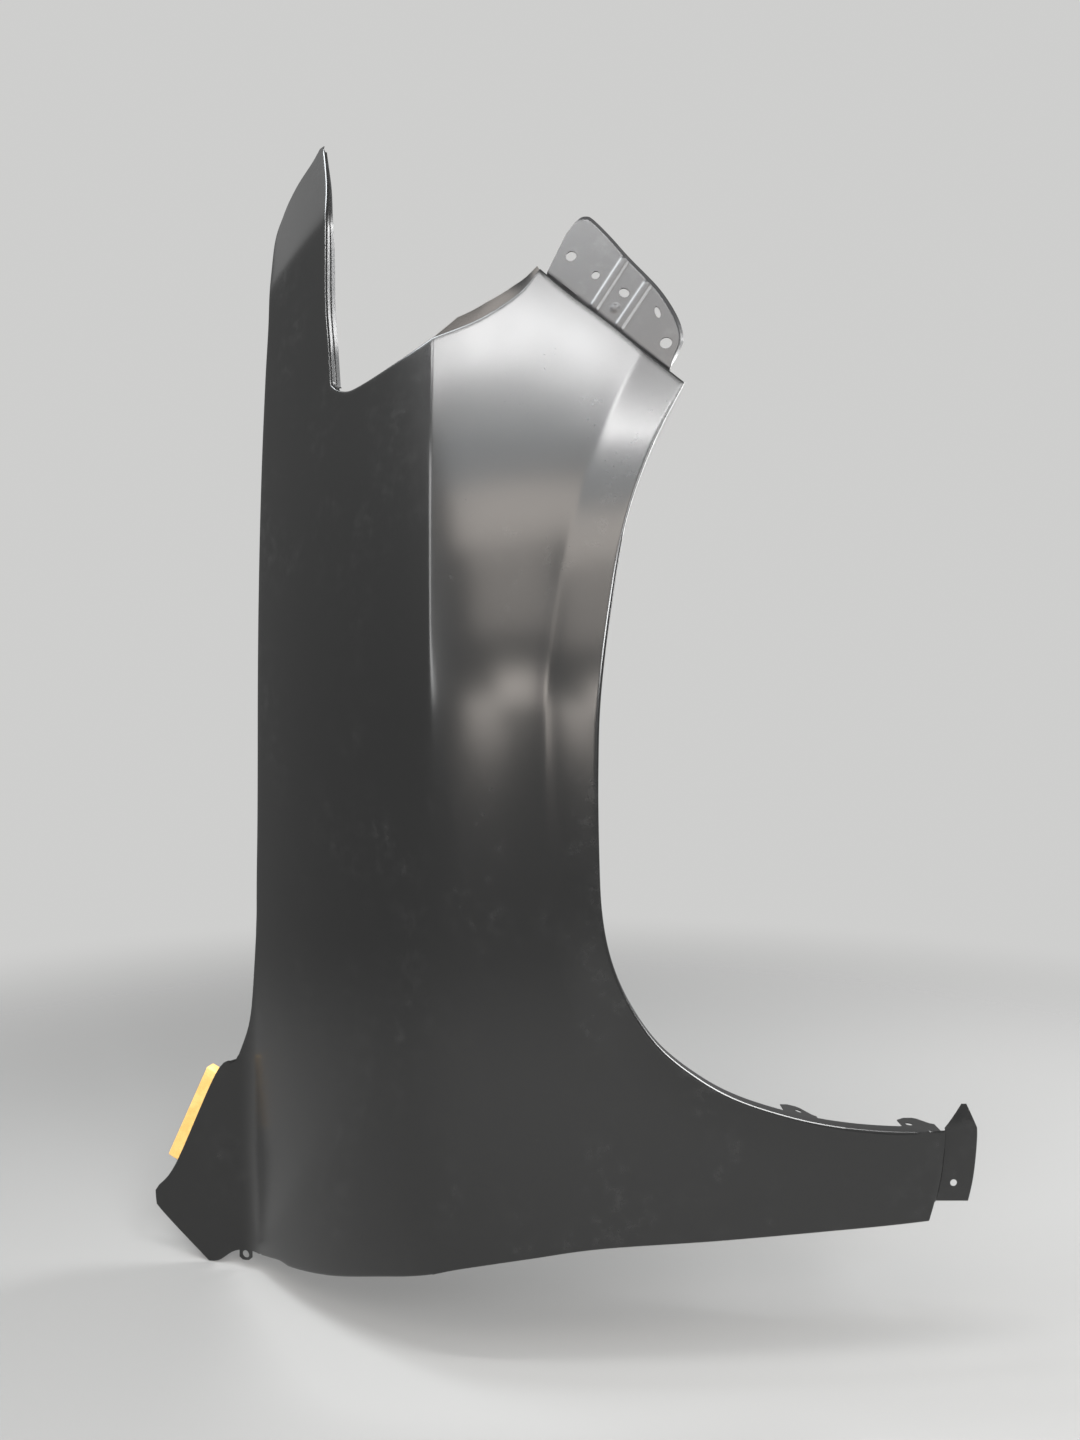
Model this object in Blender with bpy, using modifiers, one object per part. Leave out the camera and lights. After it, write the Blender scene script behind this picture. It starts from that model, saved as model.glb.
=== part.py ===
"""Right-hand front fender of a car: one pressed sheet, a welded bumper bracket and a foam pad.

Metres. +X is the front of the car, +Y the car's left (inboard), +Z up. The origin lies on the
underside of the bonnet flange, just behind its middle bolt hole.
"""
import bpy
import bmesh
from mathutils import Matrix, Vector
from mathutils.geometry import interpolate_bezier

# Overall sizes. Outline points are shares of these two.
LENGTH = 1.360
HEIGHT = 0.890
SHEET = 0.0008

# How far the skin stands out, measured outwards from the bonnet flange bolts
ARCH_REACH = 0.256
SHOULDER_DEPTH = 0.205
SIDE_CROWN = 0.020
NOSE_TURN = 0.045
NOSE_RUN = 0.300
TAIL_TUCK = 0.020
TAIL_RUN = 0.450
SILL_TUCK = 0.030
FLARE_WIDTH = 0.057
FLARE_RISE = 0.010
WING_SLOPE_SHARE = 0.30
WING_BLEND = 0.030
TIP_BEND = 0.022
TIP_BEND_RUN = 0.100

# Flanges
BONNET_FLANGE = 0.020
BONNET_PAD = 0.014
BONNET_WALL_MIN = 0.010
BONNET_WALL_LEAN = 0.004
ARCH_FLANGE = 0.018
ARCH_TAB = 0.023
LAMP_STEP = 0.008
LAMP_FLANGE = 0.014
SPIKE_STEP = 0.006
SPIKE_FLANGE = 0.009
BUMPER_HEM = 0.004
DOOR_FLANGE = 0.014
SILL_JOGGLE = 0.003
SILL_FLANGE = 0.032
SILL_EAR = 0.012
SILL_EAR_RISE = 0.023

# Holes
BOLT_HOLE = 0.009
LINER_HOLE = 0.007
HOLE_OVERRUN = 0.010
HOLE_SIDES = 16

# Outlines as (forward, up) shares of LENGTH and HEIGHT, front to rear
BONNET_EDGE_SHARES = [
    (0.276, 0.020), (0.220, 0.0213), (0.100, 0.022), (-0.070, 0.0225), (-0.155, 0.0245),
    (-0.260, 0.0245), (-0.370, 0.0240), (-0.476, 0.0232)]
SPIKE_OUTER_SHARES = [
    (0.276, 0.020), (0.310, 0.0188), (0.352, 0.0165), (0.400, 0.0165), (0.437, 0.0145),
    (0.4595, 0.0020), (0.482, -0.018), (0.500, -0.0415), (0.5120, -0.0530)]
SPIKE_INNER_SHARES = [
    (0.2765, -0.0912), (0.310, -0.0862), (0.355, -0.0787), (0.427, -0.0742), (0.468, -0.0708),
    (0.5130, -0.0595)]
NOTCH_SHARES = [
    (0.2765, -0.0912), (0.2713, -0.0994), (0.2676, -0.1118), (0.2682, -0.1258), (0.2757, -0.1551),
    (0.2886, -0.1933), (0.3015, -0.2257)]
LAMP_EDGE_SHARES = [(0.3015, -0.2257), (0.315, -0.2827), (0.3361, -0.3304), (0.3569, -0.3545)]
BUMPER_EDGE_SHARES = [(0.3569, -0.3545), (0.3348, -0.3892), (0.3022, -0.4478), (0.2549, -0.5219)]
CREASE_SHARES = [(0.3015, -0.2257), (0.000, -0.2312), (-0.4149, -0.2312)]
ARCH_SHARES = [
    (0.2524, -0.5202), (0.2022, -0.4820), (0.1456, -0.4511), (0.0816, -0.4331), (0.0171, -0.4213),
    (-0.0368, -0.4185), (-0.0919, -0.4193), (-0.1375, -0.4225), (-0.1728, -0.4331),
    (-0.2043, -0.4534), (-0.2338, -0.4848), (-0.2559, -0.5247), (-0.2735, -0.5708),
    (-0.2881, -0.6326), (-0.2976, -0.6917), (-0.3033, -0.7528), (-0.3055, -0.8100)]
DOOR_EDGE_SHARES = [
    (-0.4149, -0.2312), (-0.4068, -0.2663), (-0.3953, -0.3433), (-0.3865, -0.4236),
    (-0.3815, -0.5555), (-0.3779, -0.6601), (-0.3756, -0.7462), (-0.3740, -0.7973)]
DOOR_TOP_SHARES = [
    (-0.476, 0.0232), (-0.4665, -0.0120), (-0.4650, -0.0300), (-0.4504, -0.0913),
    (-0.4297, -0.1662), (-0.4149, -0.2312)]
SILL_END_SHARES = [(-0.3740, -0.7973), (-0.3423, -0.8093), (-0.3082, -0.8142), (-0.3055, -0.8100)]
WING_EDGE_SHARES = [
    (-0.2567, 0.0351), (-0.2904, 0.0511), (-0.3068, 0.0651), (-0.3157, 0.0894),
    (-0.4062, 0.1555), (-0.4307, 0.185), (-0.4398, 0.1902), (-0.4517, 0.1829), (-0.4951, 0.1088)]
WING_REAR_SHARES = [
    (-0.476, 0.0232), (-0.4785, 0.0480), (-0.4820, 0.0700), (-0.4930, 0.0930), (-0.4951, 0.1088)]
SILL_RUN_SHARE = 0.416
TAIL_START_SHARE = 0.11

# Sheet grid, counted in cells
SPIKE_ROWS = 14
SIDE_ROWS = 34
LEG_ROWS = 16
WING_ROWS = 13
WING_COLS = 4
SPIKE_COLS = 3
UPPER_COLS = 9
LOWER_COLS = 10
CORNER_COL = 4
FLARE_COL = 7
CURVE_STEPS = 12
EDGE_FADE_ROWS = 12
NOTCH_FADE_ROWS = 7
REAR_FADE_ROWS = 3

# Where grid columns and rows cross the sheet
UPPER_FRONT_SHARES = [0, 0.15, 0.30, 0.445, 0.48, 0.53, 0.585, 0.70, 0.85, 1]
UPPER_REAR_SHARES = [0, 0.11, 0.22, 0.33, 0.44, 0.55, 0.66, 0.77, 0.885, 1]
WING_COL_SHARES = [0, 0.20, 0.42, 0.70, 1]
NOTCH_COL_SHARES = [0, 0.075, 0.165, 0.258, 0.466, 0.75, 1]
BUMPER_COL_SHARES = [0, 0.233, 0.467, 0.70, 0.82, 0.94, 1]
FLARE_COL_SHARES = [1, 0.6, 0.2, 0]
ARCH_ROW_SHARES = [0, 0.175, 0.365, 0.569, 0.65, 0.71]
FLARE_MOST_SHARE = 0.5
FLARE_END_SHARE = 0.25
NOSE_TOP_SHARE = 0.35
SHOULDER_LINE_SHARE = 0.59
SIDE_CROWN_SHARE = 0.19
TIP_LINE_SHARE = 0.378
TIP_LEAN_SHARE = 0.935

# Which rows carry a tab or a pad
ARCH_TAB_ROWS = [(41, 42, 43), (48, 49, 50)]
ARCH_TAB_END_SHARE = 0.2
LAMP_FLANGE_SHARES = [0.6, 1, 1, 0.85, 0.4]
BONNET_PAD_ROWS = [(-2, -1), (10, 11, 12), (18, 19, 20)]
BONNET_HOLE_OFF_SHARE = 0.6
ARCH_HOLES = [(42, 0.43), (48.5, 0.25)]
SILL_HOLE_SHARE = 0.25
SILL_CLEAR_COLS = 3
SILL_EAR_TAPER_SHARE = 0.85
SILL_EAR_TIP_SHARE = 0.36
TIP_CLEAR_ROWS = 3
TAPER_CELLS = 8
TAPER_SHARE = 0.2
REAR_EAR = 0.0125
REAR_EAR_HOLE_OUT = 0.005
MERGE = 0.0001

# Bumper bracket, welded behind the bumper edge
BRACKET_LENGTH = 0.180
BRACKET_HEIGHT = 0.081
BRACKET_SHEET = 0.0015
BRACKET_LAP = 0.018
BRACKET_STEP = 0.003
BRACKET_BEAD = 0.003
BRACKET_LIP = 0.006
WELD_GAP = 0.0003
BRACKET_START_SHARE = 0.03
LAP_END_SHARE = 0.2
LAP_TAPER_SHARE = 0.25
LIP_FIRST_COL = 3
BRACKET_TOP_SHARES = [
    (-0.085, 0.606), (-0.089, 0.836), (-0.070, 0.955), (-0.019, 1.0), (0.120, 0.965),
    (0.305, 0.900), (0.559, 0.856), (0.713, 0.773), (0.830, 0.655), (0.909, 0.532),
    (0.939, 0.405), (0.973, 0.139)]
BRACKET_COL_SHARES = [
    0, 0.05, 0.11, 0.17, 0.24, 0.33, 0.358, 0.386, 0.45, 0.528, 0.556, 0.584, 0.66, 0.74, 0.82,
    0.90, 0.96, 1]
BRACKET_ROW_SHARES = [0, 0.10, 0.25, 0.42, 0.60, 0.76, 0.86, 1]
BEAD_COLS = (6, 10)
BEAD_LAST_ROW = 5
BRACKET_HOLES_SHARES = [
    (0.040, 0.406), (0.239, 0.409), (0.447, 0.456), (0.686, 0.526), (0.854, 0.275)]
BRACKET_HOLE_SIZES = [
    (0.0115, 0.0115), (0.009, 0.009), (0.012, 0.0095), (0.0055, 0.0145), (0.0125, 0.0125)]

# Foam pad, glued inside the rear upper corner
PAD_LENGTH = 0.130
PAD_INSIDE = 0.018
PAD_PROUD = 0.0145
PAD_THICK = 0.014
GLUE_GAP = 0.0003
SHEET_BACK_SHARE = 1.5
PAD_CELLS = (12, 4)
PAD_START_SHARES = (-0.3157, 0.0894)
PAD_END_SHARES = (-0.4062, 0.1555)


def clear_scene():
    for old in list(bpy.data.objects):
        bpy.data.objects.remove(old, do_unlink=True)


def finish_material(name, colour, roughness, metallic):
    material = bpy.data.materials.new(name)
    material.use_nodes = True
    shader = material.node_tree.nodes["Principled BSDF"]
    shader.inputs["Base Color"].default_value = (*colour, 1)
    shader.inputs["Roughness"].default_value = roughness
    shader.inputs["Metallic"].default_value = metallic
    return material


def table(values, place):
    """Read a list of numbers between its entries."""
    place = min(max(place, 0), len(values) - 1)
    low = min(int(place), len(values) - 2)
    return values[low] + (values[low + 1] - values[low]) * (place - low)


def ease(value):
    value = min(max(value, 0), 1)
    return value * value * (3 - 2 * value)


class Edge:
    """A smooth outline through share points, read by its share of length."""

    def __init__(self, shares, wide=LENGTH, tall=HEIGHT):
        points = [Vector((a * wide, b * tall, 0)) for a, b in shares]
        path = [points[0]]
        for n in range(len(points) - 1):
            before = points[max(n - 1, 0)]
            start = points[n]
            end = points[n + 1]
            after = points[min(n + 2, len(points) - 1)]
            pull_out = start + (end - before) / 6
            pull_in = end - (after - start) / 6
            path += interpolate_bezier(start, pull_out, pull_in, end, CURVE_STEPS)[1:]
        self.path = path
        self.reach = [0.0]
        for a, b in zip(path, path[1:]):
            self.reach.append(self.reach[-1] + (b - a).length)

    def at(self, share):
        goal = min(max(share, 0), 1) * self.reach[-1]
        for n in range(1, len(self.path)):
            if self.reach[n] >= goal:
                span = self.reach[n] - self.reach[n - 1]
                return self.path[n - 1].lerp(self.path[n], (goal - self.reach[n - 1]) / span)
        return self.path[-1].copy()


BONNET = Edge(BONNET_EDGE_SHARES)
SPIKE_OUTER = Edge(SPIKE_OUTER_SHARES)
SPIKE_INNER = Edge(SPIKE_INNER_SHARES)
NOTCH = Edge(NOTCH_SHARES)
LAMP = Edge(LAMP_EDGE_SHARES)
BUMPER = Edge(BUMPER_EDGE_SHARES)
ARCH = Edge(ARCH_SHARES)
DOOR = Edge(DOOR_EDGE_SHARES)
DOOR_TOP = Edge(DOOR_TOP_SHARES)
SILL_END = Edge(SILL_END_SHARES)
WING_FIRST_ROW = SIDE_ROWS - WING_ROWS
WING_START = BONNET.at(WING_FIRST_ROW / SIDE_ROWS)
WING = Edge([(WING_START.x / LENGTH, WING_START.y / HEIGHT)] + WING_EDGE_SHARES)
WING_REAR = Edge(WING_REAR_SHARES)
LAST_ROW = SIDE_ROWS + LEG_ROWS
ARCH_COL = UPPER_COLS + LOWER_COLS
BONNET_Z = max(b for a, b in BONNET_EDGE_SHARES) * HEIGHT


def crease_z(x):
    """Height of the character line, which climbs a little towards the lamp."""
    front_x = CREASE_SHARES[0][0] * LENGTH
    front_z = CREASE_SHARES[0][1] * HEIGHT
    level_z = CREASE_SHARES[1][1] * HEIGHT
    return level_z + (front_z - level_z) * max(0, x) / front_x


def crease(f):
    """Plan point of the character line, from the lamp to the door."""
    x = (CREASE_SHARES[0][0] * (1 - f) + CREASE_SHARES[-1][0] * f) * LENGTH
    return Vector((x, crease_z(x), 0))


def upper_plan(i, j):
    """Plan of the band between bonnet edge and crease."""
    f = i / SIDE_ROWS

    def across(f):
        share = table(UPPER_FRONT_SHARES, j) * (1 - f) + table(UPPER_REAR_SHARES, j) * f
        return BONNET.at(f).lerp(crease(f), share)

    place = across(f)
    if j <= SPIKE_COLS:
        front = BONNET.at(0).lerp(NOTCH.at(0), j / SPIKE_COLS)
    else:
        front = NOTCH.at(table(NOTCH_COL_SHARES, j - SPIKE_COLS))
    place += (front - across(0)) * ease(1 - i / NOTCH_FADE_ROWS)
    rear = DOOR_TOP.at(table(UPPER_REAR_SHARES, j))
    return place + (rear - across(1)) * ease(1 - (SIDE_ROWS - i) / REAR_FADE_ROWS)


def lower_plan(i, j):
    """Plan of the side between crease or door edge and the wheel arch."""
    k = j - UPPER_COLS

    def across(i):
        arch = ARCH.at(arch_share(i))
        rim = crease(i / SIDE_ROWS) if i <= SIDE_ROWS else DOOR.at((i - SIDE_ROWS) / LEG_ROWS)
        width = min(FLARE_WIDTH, FLARE_MOST_SHARE * (rim - arch).length)
        line = arch + (rim - arch).normalized() * width
        if k <= FLARE_COL:
            return rim.lerp(line, k / FLARE_COL)
        return arch.lerp(line, table(FLARE_COL_SHARES, k - FLARE_COL))

    place = across(i)
    if k <= CORNER_COL:
        front = LAMP.at(k / CORNER_COL)
    else:
        front = BUMPER.at(table(BUMPER_COL_SHARES, k - CORNER_COL))
    place += (front - across(0)) * ease(1 - i / EDGE_FADE_ROWS)
    if i > LAST_ROW - REAR_FADE_ROWS:
        end = across(LAST_ROW)
        share = (DOOR.at(1) - end).length / (DOOR.at(1) - ARCH.at(1)).length
        place += (SILL_END.at(share) - end) * ease(1 - (LAST_ROW - i) / REAR_FADE_ROWS)
    return place


def arch_share(i):
    if i <= SIDE_ROWS:
        return table(ARCH_ROW_SHARES, i / SIDE_ROWS * (len(ARCH_ROW_SHARES) - 1))
    return ARCH_ROW_SHARES[-1] + (1 - ARCH_ROW_SHARES[-1]) * (i - SIDE_ROWS) / LEG_ROWS


def spike_plan(i, j):
    share = -i / SPIKE_ROWS
    return SPIKE_OUTER.at(share).lerp(SPIKE_INNER.at(share), j / SPIKE_COLS)


def wing_plan(i, j):
    v = (i - WING_FIRST_ROW) / WING_ROWS

    def across(v):
        base = BONNET.at((WING_FIRST_ROW + v * WING_ROWS) / SIDE_ROWS)
        return base.lerp(WING.at(v), table(WING_COL_SHARES, -j))

    rear = WING_REAR.at(table(WING_COL_SHARES, -j))
    return across(v) + (rear - across(1)) * ease(1 - (SIDE_ROWS - i) / REAR_FADE_ROWS)


def plan(i, j):
    if i < 0:
        return spike_plan(i, j)
    if j < 0:
        return wing_plan(i, j)
    return upper_plan(i, j) if j <= UPPER_COLS and i <= SIDE_ROWS else lower_plan(i, j)


def skin_y(x, z):
    """How far inboard the outer face lies: the section across, then the turn along the car."""
    line_z = crease_z(x)
    up = (z - line_z) / (BONNET_Z - line_z)
    band = min(max(up, 0), 1)
    depth = FLARE_RISE
    if up > 0:
        line = SHOULDER_LINE_SHARE
        depth += SIDE_CROWN + SHOULDER_DEPTH * (line * band + (1 - line) * band ** 2)
        above = max(0, z - BONNET_Z)
        edge_slope = SHOULDER_DEPTH * (2 - line) / (BONNET_Z - line_z)
        blend = min(above, WING_BLEND)
        depth += edge_slope * blend - (edge_slope - WING_SLOPE_SHARE) * blend ** 2 / (2 * WING_BLEND)
        depth += WING_SLOPE_SHARE * (above - blend)
    else:
        crown_run = SIDE_CROWN_SHARE * HEIGHT
        below = (line_z - z) / crown_run
        if below < 1:
            depth += SIDE_CROWN * (1 - below) ** 2
        else:
            depth += SILL_TUCK * ((line_z - z - crown_run) / (SILL_RUN_SHARE * HEIGHT)) ** 2
    ahead = max(0, x) / NOSE_RUN
    turn = NOSE_TURN * (ahead ** 2 if ahead < 1 else 2 * ahead - 1)
    depth += turn * (1 - (1 - NOSE_TOP_SHARE) * band)
    behind = max(0, -x - TAIL_START_SHARE * LENGTH) / TAIL_RUN
    depth += TAIL_TUCK * behind ** 2
    past = x + TIP_LEAN_SHARE * z - TIP_LINE_SHARE * LENGTH
    depth += TIP_BEND * max(0, past) / TIP_BEND_RUN
    return depth - ARCH_REACH


def flare(i, j):
    """The arch's rim stands proud of the side, less so down the leg."""
    k = j - UPPER_COLS - FLARE_COL
    if k <= 0:
        return 0
    down = ease((i - SIDE_ROWS) / LEG_ROWS)
    rise = FLARE_RISE * (1 - (1 - FLARE_END_SHARE) * down)
    return rise * (1 - table(FLARE_COL_SHARES, k))


def skin(i, j):
    flat = plan(i, j)
    return Vector((flat.x, skin_y(flat.x, flat.y) - flare(i, j), flat.y))


def sheet_blank():
    """A flat grid with the cells that the pressing keeps; each corner knows its row and column."""
    rows = SPIKE_ROWS + LAST_ROW
    cols = WING_COLS + ARCH_COL
    bm = bmesh.new()
    bmesh.ops.create_grid(bm, x_segments=rows, y_segments=cols, size=0.5)
    cell = {}
    for v in bm.verts:
        i = round((v.co.x + 0.5) * rows) - SPIKE_ROWS
        j = round((v.co.y + 0.5) * cols) - WING_COLS
        cell[v] = (i, j)

    def kept(face):
        i = sum(cell[v][0] for v in face.verts) / 4
        j = sum(cell[v][1] for v in face.verts) / 4
        if i < 0:
            return 0 < j < SPIKE_COLS
        if j < 0:
            return WING_FIRST_ROW < i < SIDE_ROWS
        return i < SIDE_ROWS or j > UPPER_COLS

    spare = [face for face in bm.faces if not kept(face)]
    bmesh.ops.delete(bm, geom=spare, context="FACES")
    return bm, {v: cell[v] for v in bm.verts}


def open_edges(bm, cell, wanted):
    """Open edges whose two corners both lie in the wanted part of the grid."""
    return [e for e in bm.edges if e.is_boundary and all(wanted(*cell[v]) for v in e.verts)]


def fold(bm, cell, edges, move):
    """Turn a strip out of open edges; move(corner, row, column) gives each new corner's shift."""
    made = bmesh.ops.extrude_edge_only(bm, edges=edges)["geom"]
    fresh = [g for g in made if isinstance(g, bmesh.types.BMVert)]
    for v in fresh:
        twin = next(e.other_vert(v) for e in v.link_edges
                    if e.other_vert(v) not in fresh and e.calc_length() == 0)
        cell[v] = cell[twin]
    shifts = [move(v, *cell[v]) for v in fresh]
    for v, shift in zip(fresh, shifts):
        v.co += shift
    new = set(fresh)
    return [g for g in made if isinstance(g, bmesh.types.BMEdge) and set(g.verts) <= new]


def is_arch(i, j):
    return j == ARCH_COL


def is_front(i, j):
    return i == 0 and j >= SPIKE_COLS or j == SPIKE_COLS and -SPIKE_ROWS < i <= 0


def turned_depth(i, j):
    """How far the edge around notch, lamp, bumper and arch is turned inboard."""
    if j == ARCH_COL and i > 0:
        return ARCH_FLANGE
    if i < 0:
        return SPIKE_STEP
    return LAMP_STEP if j - UPPER_COLS < CORNER_COL else BUMPER_HEM


def arch_tab(i):
    ends = [group[-1] for group in ARCH_TAB_ROWS]
    return ARCH_TAB * (ARCH_TAB_END_SHARE if i in ends else 1)


def tapered(width, share):
    return width * (TAPER_SHARE + (1 - TAPER_SHARE) * ease(share))


def fold_front_and_arch(bm, cell):
    edges = open_edges(bm, cell, lambda i, j: is_front(i, j) or is_arch(i, j))
    rim = fold(bm, cell, edges, lambda v, i, j: Vector((0, turned_depth(i, j), 0)))

    def picked(wanted):
        return [e for e in rim if all(wanted(*cell[v]) for v in e.verts)]

    spike = picked(lambda i, j: j == SPIKE_COLS and i < 0)
    fold(bm, cell, spike,
         lambda v, i, j: Vector((0, 0, -tapered(SPIKE_FLANGE, (SPIKE_ROWS + i) / TAPER_CELLS))))
    lamp = picked(lambda i, j: i == 0 and 0 <= j - UPPER_COLS <= CORNER_COL)
    start = LAMP.at(0)
    run = (LAMP.at(1) - start).normalized()
    out = Vector((-run.y, 0, run.x))
    fold(bm, cell, lamp, lambda v, i, j: out * LAMP_FLANGE * LAMP_FLANGE_SHARES[j - UPPER_COLS])
    for wanted in ARCH_TAB_ROWS:
        tab = picked(lambda i, j: j == ARCH_COL and i in wanted)
        fold(bm, cell, tab, lambda v, i, j: Vector((0, arch_tab(i), 0)))


def bonnet_width(i):
    pads = [row for group in BONNET_PAD_ROWS for row in group]
    return BONNET_FLANGE + (BONNET_PAD if i in pads else 0)


def fold_bonnet_flange(bm, cell):
    edges = open_edges(
        bm, cell, lambda i, j: j == 0 and TIP_CLEAR_ROWS - SPIKE_ROWS <= i <= WING_FIRST_ROW)

    def wall(v, i, j):
        return Vector((0, BONNET_WALL_LEAN, min(SHEET, v.co.z - BONNET_WALL_MIN) - v.co.z))

    rim = fold(bm, cell, edges, wall)
    fold(bm, cell, rim, lambda v, i, j: Vector((0, bonnet_width(i), 0)))


def fold_door_flange(bm, cell):
    edges = open_edges(
        bm, cell,
        lambda i, j: i == SIDE_ROWS and 0 <= j <= UPPER_COLS or i >= SIDE_ROWS and j == UPPER_COLS)
    fold(bm, cell, edges, lambda v, i, j: Vector((0, DOOR_FLANGE, 0)))


def fold_rear_ear(bm, cell):
    edges = open_edges(bm, cell, lambda i, j: i == SIDE_ROWS and -2 <= j <= -1)
    fold(bm, cell, edges, lambda v, i, j: Vector((-REAR_EAR, 0, 0)))


def fold_sill_end(bm, cell):
    edges = open_edges(bm, cell, lambda i, j: i == LAST_ROW and j >= UPPER_COLS + SILL_CLEAR_COLS)
    edges = [e for e in edges if cell[e.verts[0]] != cell[e.verts[1]]]
    deepest = max(v.co.y for e in edges for v in e.verts) + SILL_JOGGLE

    def joggle(v, i, j):
        return Vector((0, deepest - v.co.y, -SILL_JOGGLE))

    rim = fold(bm, cell, edges, joggle)
    outer = fold(bm, cell, rim, lambda v, i, j: Vector((0, 0, -SILL_FLANGE)))
    corner = next(v for e in outer for v in e.verts if cell[v] == (LAST_ROW, ARCH_COL))
    side = [e for e in corner.link_edges if cell[e.other_vert(corner)] == (LAST_ROW, ARCH_COL)]
    heights = [v.co.z for e in side for v in e.verts]
    tip_z = min(heights) + (max(heights) - min(heights)) * SILL_EAR_TIP_SHARE

    def ear(v, i, j):
        return Vector((SILL_EAR_RISE, SILL_EAR, (tip_z - v.co.z) * SILL_EAR_TAPER_SHARE))

    fold(bm, cell, side, ear)


def mesh_object(bm, name, collection, material=None):
    mesh = bpy.data.meshes.new(name)
    bm.to_mesh(mesh)
    bm.free()
    thing = bpy.data.objects.new(name, mesh)
    collection.objects.link(thing)
    if material:
        mesh.materials.append(material)
    return thing


def thicken(thing, thickness):
    solid = thing.modifiers.new("sheet thickness", "SOLIDIFY")
    solid.thickness = thickness
    solid.offset = -1
    solid.use_even_offset = True


def face_outboard(bm):
    bmesh.ops.recalc_face_normals(bm, faces=bm.faces[:])
    if sum(face.normal.y * face.calc_area() for face in bm.faces) > 0:
        bmesh.ops.reverse_faces(bm, faces=bm.faces[:])


def hole_matrix(centre, axis):
    return Matrix.Translation(centre) @ axis.to_track_quat("Z", "Y").to_matrix().to_4x4()


def drill(thing, name, holes, collection):
    """Cut round or stretched holes: each is its frame, then its two widths."""
    bm = bmesh.new()
    for frame, wide, high in holes:
        size = Matrix.Diagonal((wide, high, 1, 1))
        bmesh.ops.create_cone(bm, cap_ends=True, segments=HOLE_SIDES, radius1=0.5, radius2=0.5,
                              depth=2 * HOLE_OVERRUN, matrix=frame @ size)
    cutter = mesh_object(bm, name, collection)
    cutter.hide_render = True
    cutter.display_type = "WIRE"
    cut = thing.modifiers.new(name, "BOOLEAN")
    cut.object = cutter
    cut.operation = "DIFFERENCE"
    cut.solver = "EXACT"


def panel_holes():
    """Bolt and clip holes, each set out from the edge that carries it."""
    holes = []
    for group in BONNET_PAD_ROWS:
        edge = skin(group[len(group) // 2] + BONNET_HOLE_OFF_SHARE, 0)
        reach = BONNET_WALL_LEAN + BONNET_FLANGE
        centre = Vector((edge.x, edge.y + reach, min(SHEET, edge.z - BONNET_WALL_MIN)))
        holes.append((hole_matrix(centre, Vector((0, 0, 1))), BOLT_HOLE, BOLT_HOLE))
    for row, share in ARCH_HOLES:
        edge = skin(row, ARCH_COL)
        along = skin(row + 1, ARCH_COL) - skin(row - 1, ARCH_COL)
        centre = edge + Vector((0, ARCH_FLANGE + ARCH_TAB * share, 0))
        across = along.cross(Vector((0, 1, 0)))
        holes.append((hole_matrix(centre, across), LINER_HOLE, LINER_HOLE))
    ends = [skin(LAST_ROW, j) for j in range(UPPER_COLS + SILL_CLEAR_COLS, ARCH_COL + 1)]
    deepest = max(end.y for end in ends) + SILL_JOGGLE
    end = ends[0].lerp(ends[-1], SILL_HOLE_SHARE)
    centre = Vector((end.x, deepest, end.z - SILL_JOGGLE - SILL_FLANGE / 2))
    holes.append((hole_matrix(centre, Vector((0, 1, 0))), LINER_HOLE, LINER_HOLE))
    ear = (skin(SIDE_ROWS, -1) + skin(SIDE_ROWS, -2)) / 2 - Vector((REAR_EAR_HOLE_OUT, 0, 0))
    holes.append((hole_matrix(ear, Vector((0, 1, 0))), BOLT_HOLE, BOLT_HOLE))
    return holes


def fender_panel(collection, cutters):
    """One pressing: skin, then every edge turned, then the sheet's thickness and its holes."""
    bm, cell = sheet_blank()
    for v in bm.verts:
        v.co = skin(*cell[v])
    fold_front_and_arch(bm, cell)
    fold_bonnet_flange(bm, cell)
    fold_door_flange(bm, cell)
    fold_rear_ear(bm, cell)
    fold_sill_end(bm, cell)
    bmesh.ops.remove_doubles(bm, verts=bm.verts[:], dist=MERGE)
    face_outboard(bm)
    paint = finish_material("primer_black", (0.02, 0.021, 0.022), 0.35, 0.0)
    panel = mesh_object(bm, "fender_panel", collection, paint)
    thicken(panel, SHEET)
    drill(panel, "panel_holes", panel_holes(), cutters)


def bumper_frame():
    """Frame of the bracket: along the bumper edge, forward, outboard; under the sheet and its hem."""
    first = skin(0, UPPER_COLS + CORNER_COL)
    last = skin(0, ARCH_COL)
    start = first.lerp(last, BRACKET_START_SHARE)
    along = (last - first).normalized()
    inner = skin(1, (UPPER_COLS + CORNER_COL + ARCH_COL) / 2)
    out = along.cross(inner - start).normalized()
    if out.y > 0:
        out = -out
    forward = out.cross(along)
    low = 0
    for k in range(CORNER_COL, LOWER_COLS + 1):
        for row in (0, 1):
            under = skin(row, UPPER_COLS + k) + Vector((0, SHEET + BUMPER_HEM * (row == 0), 0))
            low = min(low, (under - start).dot(out))
    origin = start + out * (low - WELD_GAP + BRACKET_STEP)
    frame = Matrix((along, forward, out)).transposed().to_4x4()
    return Matrix.Translation(origin) @ frame


def bracket_place(u, v, top):
    """Flat place on the bracket for a column share u and a row share v."""
    foot = Vector((u * BRACKET_LENGTH, 0, 0))
    return foot.lerp(top.at(u), v)


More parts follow.
